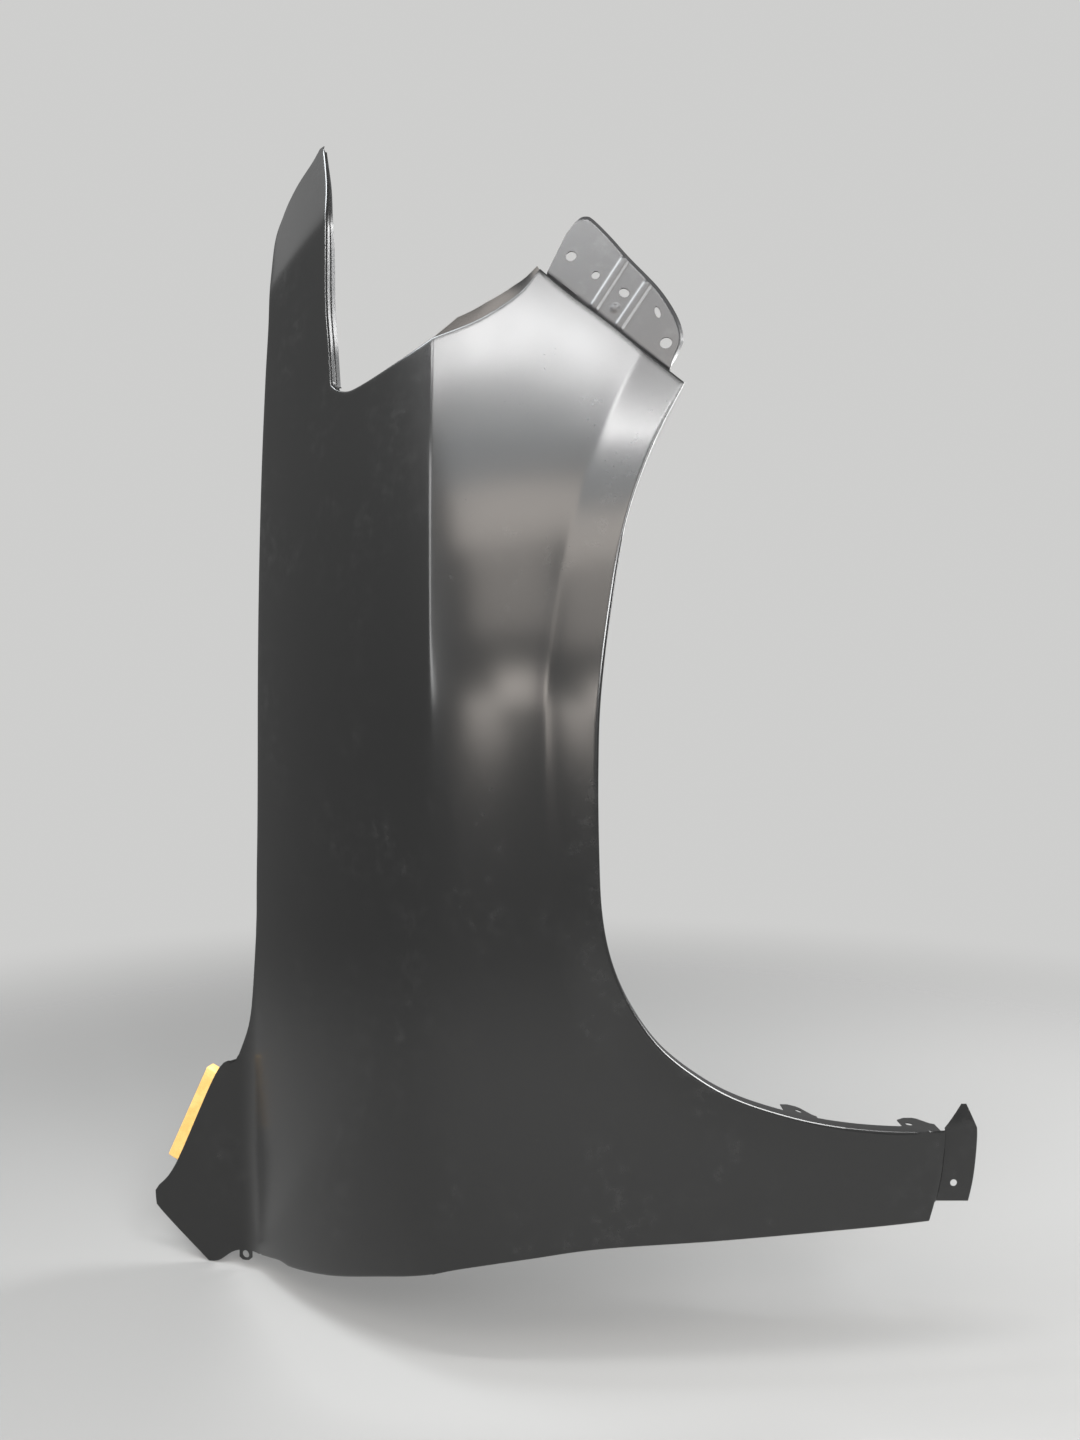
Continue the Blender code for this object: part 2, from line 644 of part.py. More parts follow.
def bumper_bracket(collection, cutters):
    """A flat plate joggled down to its weld lap, with two beads across the joggle and a lip."""
    rows = len(BRACKET_ROW_SHARES)
    cols = len(BRACKET_COL_SHARES) - 1
    top = Edge(BRACKET_TOP_SHARES, BRACKET_LENGTH, BRACKET_HEIGHT)
    bm = bmesh.new()
    bmesh.ops.create_grid(bm, x_segments=cols, y_segments=rows, size=0.5)
    cell = {}
    for v in bm.verts:
        i = round((v.co.x + 0.5) * cols)
        k = round((v.co.y + 0.5) * rows) - 1
        cell[v] = (i, k)
        share = BRACKET_COL_SHARES[i]
        v.co = bracket_place(share, BRACKET_ROW_SHARES[max(k, 0)], top)
        if k < 0:
            v.co.y -= BRACKET_LAP * min(1, LAP_END_SHARE + min(share, 1 - share) / LAP_TAPER_SHARE)
        if k <= 0:
            v.co.z -= BRACKET_STEP
        if i in BEAD_COLS and 0 < k < BEAD_LAST_ROW:
            v.co.z += BRACKET_BEAD
    rim = open_edges(bm, cell, lambda i, k: k == rows - 1 and i >= LIP_FIRST_COL)
    fold(bm, cell, rim, lambda v, i, k: Vector((0, 0, -BRACKET_LIP)))
    bm.normal_update()
    if sum(face.normal.z for face in bm.faces) < 0:
        bmesh.ops.reverse_faces(bm, faces=bm.faces[:])
    frame = bumper_frame()
    paint = finish_material("bracket_black", (0.03, 0.03, 0.032), 0.32, 0.0)
    bracket = mesh_object(bm, "bumper_bracket", collection, paint)
    bracket.matrix_world = frame
    thicken(bracket, BRACKET_SHEET)
    holes = []
    for place, size in zip(BRACKET_HOLES_SHARES, BRACKET_HOLE_SIZES):
        centre = frame @ Vector((place[0] * BRACKET_LENGTH, place[1] * BRACKET_HEIGHT, 0))
        holes.append((Matrix.Translation(centre) @ frame.to_3x3().to_4x4(), *size))
    drill(bracket, "bracket_holes", holes, cutters)


def cowl_foam_pad(collection):
    """A foam strip stuck inside the wing, its outer long edge standing proud of the sheet."""
    start = Vector((PAD_START_SHARES[0] * LENGTH, PAD_START_SHARES[1] * HEIGHT, 0))
    end = Vector((PAD_END_SHARES[0] * LENGTH, PAD_END_SHARES[1] * HEIGHT, 0))
    along = (end - start).normalized()
    out = Vector((along.y, -along.x, 0))
    bm = bmesh.new()
    bmesh.ops.create_grid(bm, x_segments=PAD_CELLS[0], y_segments=PAD_CELLS[1], size=0.5)
    middle = (start + end) / 2
    for v in bm.verts:
        reach = (v.co.y + 0.5) * (PAD_INSIDE + PAD_PROUD) - PAD_INSIDE
        flat = middle + along * v.co.x * PAD_LENGTH + out * reach
        v.co = Vector((flat.x, skin_y(flat.x, flat.y) + SHEET_BACK_SHARE * SHEET + GLUE_GAP, flat.y))
    face_outboard(bm)
    foam = finish_material("foam_orange", (0.91, 0.58, 0.16), 0.9, 0.0)
    pad = mesh_object(bm, "cowl_foam_pad", collection, foam)
    thicken(pad, PAD_THICK)


def build():
    clear_scene()
    parts = bpy.data.collections.new("car_fender")
    cutters = bpy.data.collections.new("cutters")
    bpy.context.scene.collection.children.link(parts)
    bpy.context.scene.collection.children.link(cutters)
    fender_panel(parts, cutters)
    bumper_bracket(parts, cutters)
    cowl_foam_pad(parts)


build()
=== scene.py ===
# %% [markdown]
# # A car's front fender, pressed from one sheet
# The object is the right-hand front fender of a car before it gets its colour: one thin steel
# sheet in satin black primer, with a small welded bracket for the bumper and a strip of orange
# foam at the rear upper corner. The solids come in first and fix every size. The sheet is then
# drawn again with rounded bends, because a real press can't fold steel to a knife edge.

# %% Load the frame
import bisect
import math

import bmesh
import bpy
from mathutils import Matrix, Vector
from mathutils.geometry import interpolate_bezier


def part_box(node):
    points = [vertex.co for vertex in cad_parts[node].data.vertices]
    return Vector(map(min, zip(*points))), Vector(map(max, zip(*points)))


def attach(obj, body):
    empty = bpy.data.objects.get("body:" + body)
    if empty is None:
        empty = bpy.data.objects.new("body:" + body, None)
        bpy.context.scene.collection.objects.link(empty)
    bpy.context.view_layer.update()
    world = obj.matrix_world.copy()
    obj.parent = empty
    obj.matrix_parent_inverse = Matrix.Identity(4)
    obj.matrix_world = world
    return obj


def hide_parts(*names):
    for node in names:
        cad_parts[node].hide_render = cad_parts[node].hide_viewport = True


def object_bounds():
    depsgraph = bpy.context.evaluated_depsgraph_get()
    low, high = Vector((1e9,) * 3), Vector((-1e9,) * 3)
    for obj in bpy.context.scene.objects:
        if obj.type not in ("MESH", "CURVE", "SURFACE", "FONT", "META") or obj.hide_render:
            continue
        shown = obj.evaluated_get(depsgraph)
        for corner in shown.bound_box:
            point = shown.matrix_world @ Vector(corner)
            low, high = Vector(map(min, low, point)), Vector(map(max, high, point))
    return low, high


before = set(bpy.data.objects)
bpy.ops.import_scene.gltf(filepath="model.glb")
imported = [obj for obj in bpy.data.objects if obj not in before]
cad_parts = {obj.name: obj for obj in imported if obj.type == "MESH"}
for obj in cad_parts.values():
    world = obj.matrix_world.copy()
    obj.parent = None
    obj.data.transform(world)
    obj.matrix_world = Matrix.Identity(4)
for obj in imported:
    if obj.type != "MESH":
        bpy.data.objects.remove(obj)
cad_box = [list(corner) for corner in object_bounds()]
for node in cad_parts:
    low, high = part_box(node)
    print(node, "mm:", [round(1000 * (b - a), 1) for a, b in zip(low, high)])

# %% [markdown]
# The photograph was taken with a phone turned upright while the fender stood on its rear edge, so
# picture-up is the front of the car. The camera therefore looks straight inboard and is rolled a
# quarter turn: its up is +X and its right is -Z.

# %% Camera
LENS, SENSOR_WIDTH = 27.07, 36
CAMERA_PLACE = Vector((0, -1.306, -0.3155))

lens_data = bpy.data.cameras.new("camera")
lens_data.lens = LENS
lens_data.sensor_width = SENSOR_WIDTH
camera = bpy.data.objects.new("camera", lens_data)
bpy.context.scene.collection.objects.link(camera)
bpy.context.scene.camera = camera
picture_right = Vector((0, 0, -1))
picture_up = Vector((1, 0, 0))
turn = Matrix((picture_right, picture_up, picture_right.cross(picture_up))).transposed()
camera.matrix_world = Matrix.Translation(CAMERA_PLACE) @ turn.to_4x4()
print("camera looks along", [round(c, 2) for c in turn @ Vector((0, 0, -1))])

# %% [markdown]
# A fender is known by its outlines: bonnet edge, headlamp notch, bumper edge, wheel arch, door
# edge. Each is kept as a few points in shares of the panel's length and height, measured forwards
# and upwards, and a smooth curve is run through them.

# %% Overall sizes and outlines
LENGTH = 1.360
HEIGHT = 0.890
SHEET = 0.0008

BONNET_EDGE_SHARES = [
    (0.276, 0.020), (0.220, 0.0213), (0.100, 0.022), (-0.070, 0.0225), (-0.155, 0.0245),
    (-0.260, 0.0245), (-0.370, 0.0240), (-0.476, 0.0232)]
SPIKE_OUTER_SHARES = [
    (0.276, 0.020), (0.310, 0.0188), (0.352, 0.0165), (0.400, 0.0165), (0.437, 0.0145),
    (0.4595, 0.0020), (0.482, -0.018), (0.500, -0.0415), (0.5120, -0.0530)]
SPIKE_INNER_SHARES = [
    (0.2765, -0.0912), (0.310, -0.0862), (0.355, -0.0787), (0.427, -0.0742), (0.468, -0.0708),
    (0.5130, -0.0595)]
NOTCH_SHARES = [
    (0.2765, -0.0912), (0.2713, -0.0994), (0.2676, -0.1118), (0.2682, -0.1258), (0.2757, -0.1551),
    (0.2886, -0.1933), (0.3015, -0.2257)]
LAMP_EDGE_SHARES = [(0.3015, -0.2257), (0.315, -0.2827), (0.3361, -0.3304), (0.3569, -0.3545)]
BUMPER_EDGE_SHARES = [(0.3569, -0.3545), (0.3348, -0.3892), (0.3022, -0.4478), (0.2549, -0.5219)]
CREASE_SHARES = [(0.3015, -0.2257), (0.000, -0.2312), (-0.4149, -0.2312)]
ARCH_SHARES = [
    (0.2524, -0.5202), (0.2022, -0.4820), (0.1456, -0.4511), (0.0816, -0.4331), (0.0171, -0.4213),
    (-0.0368, -0.4185), (-0.0919, -0.4193), (-0.1375, -0.4225), (-0.1728, -0.4331),
    (-0.2043, -0.4534), (-0.2338, -0.4848), (-0.2559, -0.5247), (-0.2735, -0.5708),
    (-0.2881, -0.6326), (-0.2976, -0.6917), (-0.3033, -0.7528), (-0.3055, -0.8100)]
DOOR_EDGE_SHARES = [
    (-0.4149, -0.2312), (-0.4068, -0.2663), (-0.3953, -0.3433), (-0.3865, -0.4236),
    (-0.3815, -0.5555), (-0.3779, -0.6601), (-0.3756, -0.7462), (-0.3740, -0.7973)]
DOOR_TOP_SHARES = [
    (-0.476, 0.0232), (-0.4665, -0.0120), (-0.4650, -0.0300), (-0.4504, -0.0913),
    (-0.4297, -0.1662), (-0.4149, -0.2312)]
SILL_END_SHARES = [(-0.3740, -0.7973), (-0.3423, -0.8093), (-0.3082, -0.8142), (-0.3055, -0.8100)]
WING_EDGE_SHARES = [
    (-0.2567, 0.0351), (-0.2904, 0.0511), (-0.3068, 0.0651), (-0.3157, 0.0894),
    (-0.4062, 0.1555), (-0.4307, 0.185), (-0.4398, 0.1902), (-0.4517, 0.1829), (-0.4951, 0.1088)]
WING_REAR_SHARES = [
    (-0.476, 0.0232), (-0.4785, 0.0480), (-0.4820, 0.0700), (-0.4930, 0.0930), (-0.4951, 0.1088)]
print("panel:", LENGTH, "m long,", HEIGHT, "m high, sheet", 1000 * SHEET, "mm")

# %% [markdown]
# A pressed edge has no corners between its measured points, so a smooth curve is run through
# them. Every stretch is a Bezier curve, and each handle is a sixth of the step between the points
# on either side. The curve is read by its share of length, so that grid lines are spaced evenly.

# %% Curves through the outline points
CURVE_STEPS = 12


class Edge:
    """A smooth outline through share points, read by its share of length."""

    def __init__(self, shares, wide=LENGTH, tall=HEIGHT):
        points = [Vector((a * wide, b * tall, 0)) for a, b in shares]
        self.path = [points[0]]
        for n in range(len(points) - 1):
            before, start = points[max(n - 1, 0)], points[n]
            end, after = points[n + 1], points[min(n + 2, len(points) - 1)]
            pull_out = start + (end - before) / 6
            pull_in = end - (after - start) / 6
            self.path += interpolate_bezier(start, pull_out, pull_in, end, CURVE_STEPS)[1:]
        self.reach = [0.0]
        for a, b in zip(self.path, self.path[1:]):
            self.reach.append(self.reach[-1] + (b - a).length)

    def at(self, share):
        """The point at this share of the curve's length."""
        goal = min(max(share, 0), 1) * self.reach[-1]
        n = min(max(bisect.bisect_left(self.reach, goal), 1), len(self.path) - 1)
        span = self.reach[n] - self.reach[n - 1]
        return self.path[n - 1].lerp(self.path[n], (goal - self.reach[n - 1]) / span)


def table(values, place):
    """Read a list of numbers between its entries."""
    place = min(max(place, 0), len(values) - 1)
    low = min(int(place), len(values) - 2)
    return values[low] + (values[low + 1] - values[low]) * (place - low)


def ease(value):
    """A smooth step from 0 to 1."""
    value = min(max(value, 0), 1)
    return value * value * (3 - 2 * value)


ARCH, BUMPER = Edge(ARCH_SHARES), Edge(BUMPER_EDGE_SHARES)
print("wheel arch is", round(ARCH.reach[-1], 3), "m long, bumper edge", round(BUMPER.reach[-1], 3))

# %% [markdown]
# The sheet is laid out as a grid of four patches: the side from bonnet edge to wheel arch, the leg
# behind the arch, the rear wing above the bonnet's end, and the spike ahead of the notch. Rows
# are numbered from nose to door, and columns from the bonnet edge down to the arch. The spike's
# rows and the wing's columns count down from zero.

# %% Grid counts and the other edges
SIDE_ROWS, LEG_ROWS, WING_ROWS, SPIKE_ROWS = 34, 16, 13, 14
UPPER_COLS, LOWER_COLS, WING_COLS, SPIKE_COLS = 9, 10, 4, 3
CORNER_COL, FLARE_COL = 4, 7
WING_FIRST_ROW = SIDE_ROWS - WING_ROWS
LAST_ROW = SIDE_ROWS + LEG_ROWS
ARCH_COL = UPPER_COLS + LOWER_COLS

BONNET, NOTCH, LAMP = Edge(BONNET_EDGE_SHARES), Edge(NOTCH_SHARES), Edge(LAMP_EDGE_SHARES)
SPIKE_OUTER, SPIKE_INNER = Edge(SPIKE_OUTER_SHARES), Edge(SPIKE_INNER_SHARES)
DOOR, DOOR_TOP = Edge(DOOR_EDGE_SHARES), Edge(DOOR_TOP_SHARES)
SILL_END, WING_REAR = Edge(SILL_END_SHARES), Edge(WING_REAR_SHARES)
wing_start = BONNET.at(WING_FIRST_ROW / SIDE_ROWS)
WING = Edge([(wing_start.x / LENGTH, wing_start.y / HEIGHT)] + WING_EDGE_SHARES)
BONNET_Z = max(b for a, b in BONNET_EDGE_SHARES) * HEIGHT
print("grid rows", -SPIKE_ROWS, "to", LAST_ROW, "and columns", -WING_COLS, "to", ARCH_COL)

# %% [markdown]
# The next cells say where a grid place falls when the fender is seen from the side. Rows bend near
# the ends so that they meet the headlamp notch and the door edge along their own curves. The
# upper band comes first: it lies between the bonnet edge and the character line.

# %% Side view: character line and upper band
NOTCH_FADE_ROWS, REAR_FADE_ROWS = 7, 3
UPPER_FRONT_SHARES = [0, 0.15, 0.30, 0.445, 0.48, 0.53, 0.585, 0.70, 0.85, 1]
UPPER_REAR_SHARES = [0, 0.11, 0.22, 0.33, 0.44, 0.55, 0.66, 0.77, 0.885, 1]
NOTCH_COL_SHARES = [0, 0.075, 0.165, 0.258, 0.466, 0.75, 1]


def crease_z(x):
    """Height of the character line, which climbs a little towards the lamp."""
    front_x = CREASE_SHARES[0][0] * LENGTH
    front_z, level_z = CREASE_SHARES[0][1] * HEIGHT, CREASE_SHARES[1][1] * HEIGHT
    return level_z + (front_z - level_z) * max(0, x) / front_x


def crease(f):
    """The character line in the side view, from the lamp (0) to the door (1)."""
    x = (CREASE_SHARES[0][0] * (1 - f) + CREASE_SHARES[-1][0] * f) * LENGTH
    return Vector((x, crease_z(x), 0))


def upper_plan(i, j):
    """The band between bonnet edge and crease."""
    def across(f):
        share = table(UPPER_FRONT_SHARES, j) * (1 - f) + table(UPPER_REAR_SHARES, j) * f
        return BONNET.at(f).lerp(crease(f), share)

    if j <= SPIKE_COLS:
        front = BONNET.at(0).lerp(NOTCH.at(0), j / SPIKE_COLS)
    else:
        front = NOTCH.at(table(NOTCH_COL_SHARES, j - SPIKE_COLS))
    place = across(i / SIDE_ROWS) + (front - across(0)) * ease(1 - i / NOTCH_FADE_ROWS)
    rear = DOOR_TOP.at(table(UPPER_REAR_SHARES, j))
    return place + (rear - across(1)) * ease(1 - (SIDE_ROWS - i) / REAR_FADE_ROWS)


print("grid corner at the lamp:", [round(c, 3) for c in upper_plan(0, UPPER_COLS)[:2]])

# %% [markdown]
# Below the character line the side runs down to the wheel arch, and behind the arch it goes on as
# a narrow leg beside the door. The last columns follow the arch at an even width, because the
# raised rim of the arch stands on them.

# %% Side view: the side and its leg
EDGE_FADE_ROWS = 12
FLARE_WIDTH, FLARE_MOST_SHARE = 0.057, 0.5
BUMPER_COL_SHARES = [0, 0.233, 0.467, 0.70, 0.82, 0.94, 1]
FLARE_COL_SHARES = [1, 0.6, 0.2, 0]
ARCH_ROW_SHARES = [0, 0.175, 0.365, 0.569, 0.65, 0.71]


def arch_share(i):
    """How far along the arch a row ends; the rows crowd together towards the leg."""
    if i <= SIDE_ROWS:
        return table(ARCH_ROW_SHARES, i / SIDE_ROWS * (len(ARCH_ROW_SHARES) - 1))
    return ARCH_ROW_SHARES[-1] + (1 - ARCH_ROW_SHARES[-1]) * (i - SIDE_ROWS) / LEG_ROWS


def lower_plan(i, j):
    """The side between crease or door edge and the wheel arch."""
    k = j - UPPER_COLS

    def across(i):
        arch = ARCH.at(arch_share(i))
        rim = crease(i / SIDE_ROWS) if i <= SIDE_ROWS else DOOR.at((i - SIDE_ROWS) / LEG_ROWS)
        width = min(FLARE_WIDTH, FLARE_MOST_SHARE * (rim - arch).length)
        line = arch + (rim - arch).normalized() * width
        if k <= FLARE_COL:
            return rim.lerp(line, k / FLARE_COL)
        return arch.lerp(line, table(FLARE_COL_SHARES, k - FLARE_COL))

    if k <= CORNER_COL:
        front = LAMP.at(k / CORNER_COL)
    else:
        front = BUMPER.at(table(BUMPER_COL_SHARES, k - CORNER_COL))
    place = across(i) + (front - across(0)) * ease(1 - i / EDGE_FADE_ROWS)
    if i > LAST_ROW - REAR_FADE_ROWS:
        end = across(LAST_ROW)
        share = (DOOR.at(1) - end).length / (DOOR.at(1) - ARCH.at(1)).length
        place += (SILL_END.at(share) - end) * ease(1 - (LAST_ROW - i) / REAR_FADE_ROWS)
    return place


print("sill corner:", [round(c, 3) for c in lower_plan(LAST_ROW, ARCH_COL)[:2]])

# %% [markdown]
# The spike runs forward between bonnet and headlamp, and the wing rises towards the windscreen.
# Each is a strip between two outlines. `plan` then picks the right patch for any grid place.

# %% Side view: spike, wing and all patches
WING_COL_SHARES = [0, 0.20, 0.42, 0.70, 1]


def spike_plan(i, j):
    """The narrow strip ahead of the notch, drawn to a point."""
    share = -i / SPIKE_ROWS
    return SPIKE_OUTER.at(share).lerp(SPIKE_INNER.at(share), j / SPIKE_COLS)


def wing_plan(i, j):
    """The strip that rises behind the bonnet's rear corner."""
    def across(v):
        base = BONNET.at((WING_FIRST_ROW + v * WING_ROWS) / SIDE_ROWS)
        return base.lerp(WING.at(v), table(WING_COL_SHARES, -j))

    place = across((i - WING_FIRST_ROW) / WING_ROWS)
    rear = WING_REAR.at(table(WING_COL_SHARES, -j))
    return place + (rear - across(1)) * ease(1 - (SIDE_ROWS - i) / REAR_FADE_ROWS)


def plan(i, j):
    """Where a grid place falls in the side view: x forward, y up."""
    if i < 0:
        return spike_plan(i, j)
    if j < 0:
        return wing_plan(i, j)
    return upper_plan(i, j) if j <= UPPER_COLS and i <= SIDE_ROWS else lower_plan(i, j)


print("spike tip:", [round(c, 3) for c in plan(-SPIKE_ROWS, 0)[:2]])

# %% [markdown]
# Seen from the front, the skin leans inboard from the wheel arch up to the bonnet. The character
# line is crisp by the headlamp and melts away towards the door: near the line, the corner of the
# section is swapped for a small parabola, whose width grows along the car. Along the car the nose
# turns inboard, the tail tucks in and the spike's tip bends away.

# %% Section across and along the car
ARCH_REACH = 0.256
SHOULDER_DEPTH = 0.205
SHOULDER_LINE_SHARE = 0.59
SIDE_CROWN = 0.020
SIDE_CROWN_SHARE = 0.19
NOSE_TURN, NOSE_RUN, NOSE_TOP_SHARE = 0.045, 0.300, 0.35
TAIL_TUCK, TAIL_RUN, TAIL_START_SHARE = 0.020, 0.450, 0.11
SILL_TUCK, SILL_RUN_SHARE = 0.030, 0.416
FLARE_RISE = 0.010
WING_SLOPE_SHARE, WING_BLEND = 0.30, 0.030
TIP_BEND, TIP_BEND_RUN, TIP_SOFT = 0.022, 0.100, 0.030
TIP_LINE_SHARE, TIP_LEAN_SHARE = 0.378, 0.935
CREASE_SHARP, CREASE_SOFT = 0.0018, 0.040
CREASE_FADE_FROM, CREASE_FADE_RUN = 0.10, 0.34


def rounded_corner(distance, radius):
    """What a parabola of this radius adds over a sharp corner, for a slope change of one."""
    if abs(distance) >= radius:
        return 0
    return ((distance ** 2 + radius ** 2) / (2 * radius) - abs(distance)) / 2


def skin_y(x, z):
    """How far inboard the outer face lies: the section across, then the turn along the car."""
    line_z = crease_z(x)
    drop = BONNET_Z - line_z
    up = (z - line_z) / drop
    band = min(max(up, 0), 1)
    crown_run = SIDE_CROWN_SHARE * HEIGHT
    line = SHOULDER_LINE_SHARE
    depth = FLARE_RISE
    if up > 0:
        depth += SIDE_CROWN + SHOULDER_DEPTH * (line * band + (1 - line) * band ** 2)
        above = max(0, z - BONNET_Z)
        edge_slope = SHOULDER_DEPTH * (2 - line) / drop
        blend = min(above, WING_BLEND)
        slope_loss = edge_slope - WING_SLOPE_SHARE
        depth += edge_slope * blend - slope_loss * blend ** 2 / (2 * WING_BLEND)
        depth += WING_SLOPE_SHARE * (above - blend)
    else:
        below = (line_z - z) / crown_run
        if below < 1:
            depth += SIDE_CROWN * (1 - below) ** 2
        else:
            depth += SILL_TUCK * ((line_z - z - crown_run) / (SILL_RUN_SHARE * HEIGHT)) ** 2
    slope_change = SHOULDER_DEPTH * line / drop - 2 * SIDE_CROWN / crown_run
    soft = ease((CREASE_FADE_FROM - x) / CREASE_FADE_RUN)
    radius = CREASE_SHARP + (CREASE_SOFT - CREASE_SHARP) * soft
    depth += slope_change * rounded_corner(z - line_z, radius)
    ahead = max(0, x) / NOSE_RUN
    turned = NOSE_TURN * (ahead ** 2 if ahead < 1 else 2 * ahead - 1)
    depth += turned * (1 - (1 - NOSE_TOP_SHARE) * band)
    depth += TAIL_TUCK * (max(0, -x - TAIL_START_SHARE * LENGTH) / TAIL_RUN) ** 2
    past = x + TIP_LEAN_SHARE * z - TIP_LINE_SHARE * LENGTH
    bent = past ** 2 / (2 * TIP_SOFT) if 0 < past < TIP_SOFT else max(0, past - TIP_SOFT / 2)
    depth += TIP_BEND * bent / TIP_BEND_RUN
    return depth - ARCH_REACH


print("the section leans", round(1000 * (skin_y(0, BONNET_Z) - skin_y(0, crease_z(0)))),
      "mm inboard between character line and bonnet")

# %% [markdown]
# The arch's rim stands ten millimetres proud of the side. Its line is crisp by the bumper and
# softens on its way back, by the same parabola, here in shares of the raised strip. Down the leg
# the rim loses most of its height.

# %% Arch flare, and the finished surface
FLARE_END_SHARE = 0.25
FLARE_CRISP, FLARE_SOFT = 0.10, 0.95
FLARE_FADE_ROW, FLARE_FADE_ROWS = 10, 20


def flare(i, j):
    """The arch's rim stands proud of the side, with a line that softens to the rear."""
    k = j - UPPER_COLS - FLARE_COL
    if k <= 0:
        return 0
    share = 1 - table(FLARE_COL_SHARES, k)
    soft = FLARE_CRISP + (FLARE_SOFT - FLARE_CRISP) * ease((i - FLARE_FADE_ROW) / FLARE_FADE_ROWS)
    lift = share ** 2 / (2 * soft) if share < soft else share - soft / 2
    down = ease((i - SIDE_ROWS) / LEG_ROWS)
    return FLARE_RISE * (1 - (1 - FLARE_END_SHARE) * down) * lift / (1 - soft / 2)


def skin(i, j):
    """The place in space of a grid place."""
    flat = plan(i, j)
    return Vector((flat.x, skin_y(flat.x, flat.y) - flare(i, j), flat.y))


print("arch rim stands", round(-1000 * min(skin(i, ARCH_COL).y for i in range(SIDE_ROWS))),
      "mm outboard of the bonnet bolts")

# %% [markdown]
# Now the sheet itself. One `create_grid` gives all its faces; the cells that the press trims off
# are deleted, and every corner that is left is moved to its place on the skin. Extra columns run
# close beside the character line and the arch line so that their small radii have faces to bend.

# %% Press the skin
ROW_PARTS, COL_PARTS = 4, 4
CREASE_EXTRA = (-0.12, -0.06, -0.03, 0.03, 0.06, 0.12)
FLARE_EXTRA = (0.08, 0.16)


def fine_steps(first, last, parts, extra=()):
    """Rows or columns between the counted ones, in even parts, with some extra ones."""
    steps = {first + n / parts for n in range((last - first) * parts + 1)} | set(extra)
    return sorted(steps)


rows_at = fine_steps(-SPIKE_ROWS, LAST_ROW, ROW_PARTS)
extra_cols = [UPPER_COLS + d for d in CREASE_EXTRA]
extra_cols += [UPPER_COLS + FLARE_COL + d for d in FLARE_EXTRA]
cols_at = fine_steps(-WING_COLS, ARCH_COL, COL_PARTS, extra_cols)
sheet = bmesh.new()
bmesh.ops.create_grid(sheet, x_segments=len(rows_at) - 1, y_segments=len(cols_at) - 1, size=0.5)
cell = {}
for v in sheet.verts:
    a = round((v.co.x + 0.5) * (len(rows_at) - 1))
    b = round((v.co.y + 0.5) * (len(cols_at) - 1))
    cell[v] = (rows_at[a], cols_at[b])


def trimmed_off(face):
    """Cells of the full grid that belong to none of the four patches."""
    i = sum(cell[v][0] for v in face.verts) / 4
    j = sum(cell[v][1] for v in face.verts) / 4
    if i < 0:
        return not 0 < j < SPIKE_COLS
    if j < 0:
        return not WING_FIRST_ROW < i < SIDE_ROWS
    return i > SIDE_ROWS and j < UPPER_COLS


bmesh.ops.delete(sheet, geom=[f for f in sheet.faces if trimmed_off(f)], context="FACES")
cell = {v: cell[v] for v in sheet.verts}
for v in sheet.verts:
    v.co = skin(*cell[v])
print("skin:", len(sheet.faces), "faces")

# %% [markdown]
# Flanges, tabs and ears are all pulled out of the sheet's open edges. `extend` does that for
# whatever edge it is given. Each new corner inherits the grid place of the corner it grew from, so
# that later steps can still tell where on the fender they are.

# %% Tools: open edges and strips
root = {}


def open_edges(bm, wanted):
    """Open edges whose two corners lie in the wanted part of the grid, flange ends left out."""
    return [e for e in bm.edges if e.is_boundary and all(wanted(*cell[v]) for v in e.verts)]


def extend(bm, edges, place):
    """Pull a strip from open edges; place(first corner) says where each new corner goes."""
    made = bmesh.ops.extrude_edge_only(bm, edges=edges)["geom"]
    fresh = [g for g in made if isinstance(g, bmesh.types.BMVert)]
    new = set(fresh)
    for v in fresh:
        twin = next(e.other_vert(v) for e in v.link_edges if e.other_vert(v) not in new)
        cell[v] = cell[twin]
        root[v] = root.get(twin, twin)
    for v in fresh:
        v.co = place(root[v])
    return [g for g in made if isinstance(g, bmesh.types.BMEdge) and set(g.verts) <= new]


print("open edges of the sheet:", len(open_edges(sheet, lambda i, j: True)))

# %% [markdown]
# A folded edge has a radius of two to four millimetres that catches the light as a thin bright
# line. `roll` backs the edge off by the radius and then extrudes it round a quarter curve. The
# faces behind the edge make room for the bend, or they would be folded over. Where two edges meet,
# both move the same corners, so corners are always taken in one order and every run is alike.

# %% Tools: rolled bends
ROLL_STEPS = 4
ROOM_SHARE = 2.5


def make_room(v, chosen, size):
    """Slide the corners behind a rim corner evenly back, so that the bend has its room."""
    path, edge = [v], next((e for e in v.link_edges if e not in chosen), None)
    while edge and (path[-1].co - v.co).length < ROOM_SHARE * size:
        path.append(edge.other_vert(path[-1]))
        sides = set(edge.link_faces)
        ahead = [e for e in path[-1].link_edges if e is not edge and not sides & set(e.link_faces)]
        edge = ahead[0] if len(ahead) == 1 else None
    places = [w.co.copy() for w in path]
    reach = [0.0]
    for a, b in zip(places, places[1:]):
        reach.append(reach[-1] + (b - a).length)
    if reach[-1] <= size:
        return
    for n, w in enumerate(path[1:-1], 1):
        goal = size + (reach[-1] - size) * n / (len(path) - 1)
        k = next(k for k in range(1, len(reach)) if reach[k] >= goal)
        w.co = places[k - 1].lerp(places[k], (goal - reach[k - 1]) / (reach[k] - reach[k - 1]))


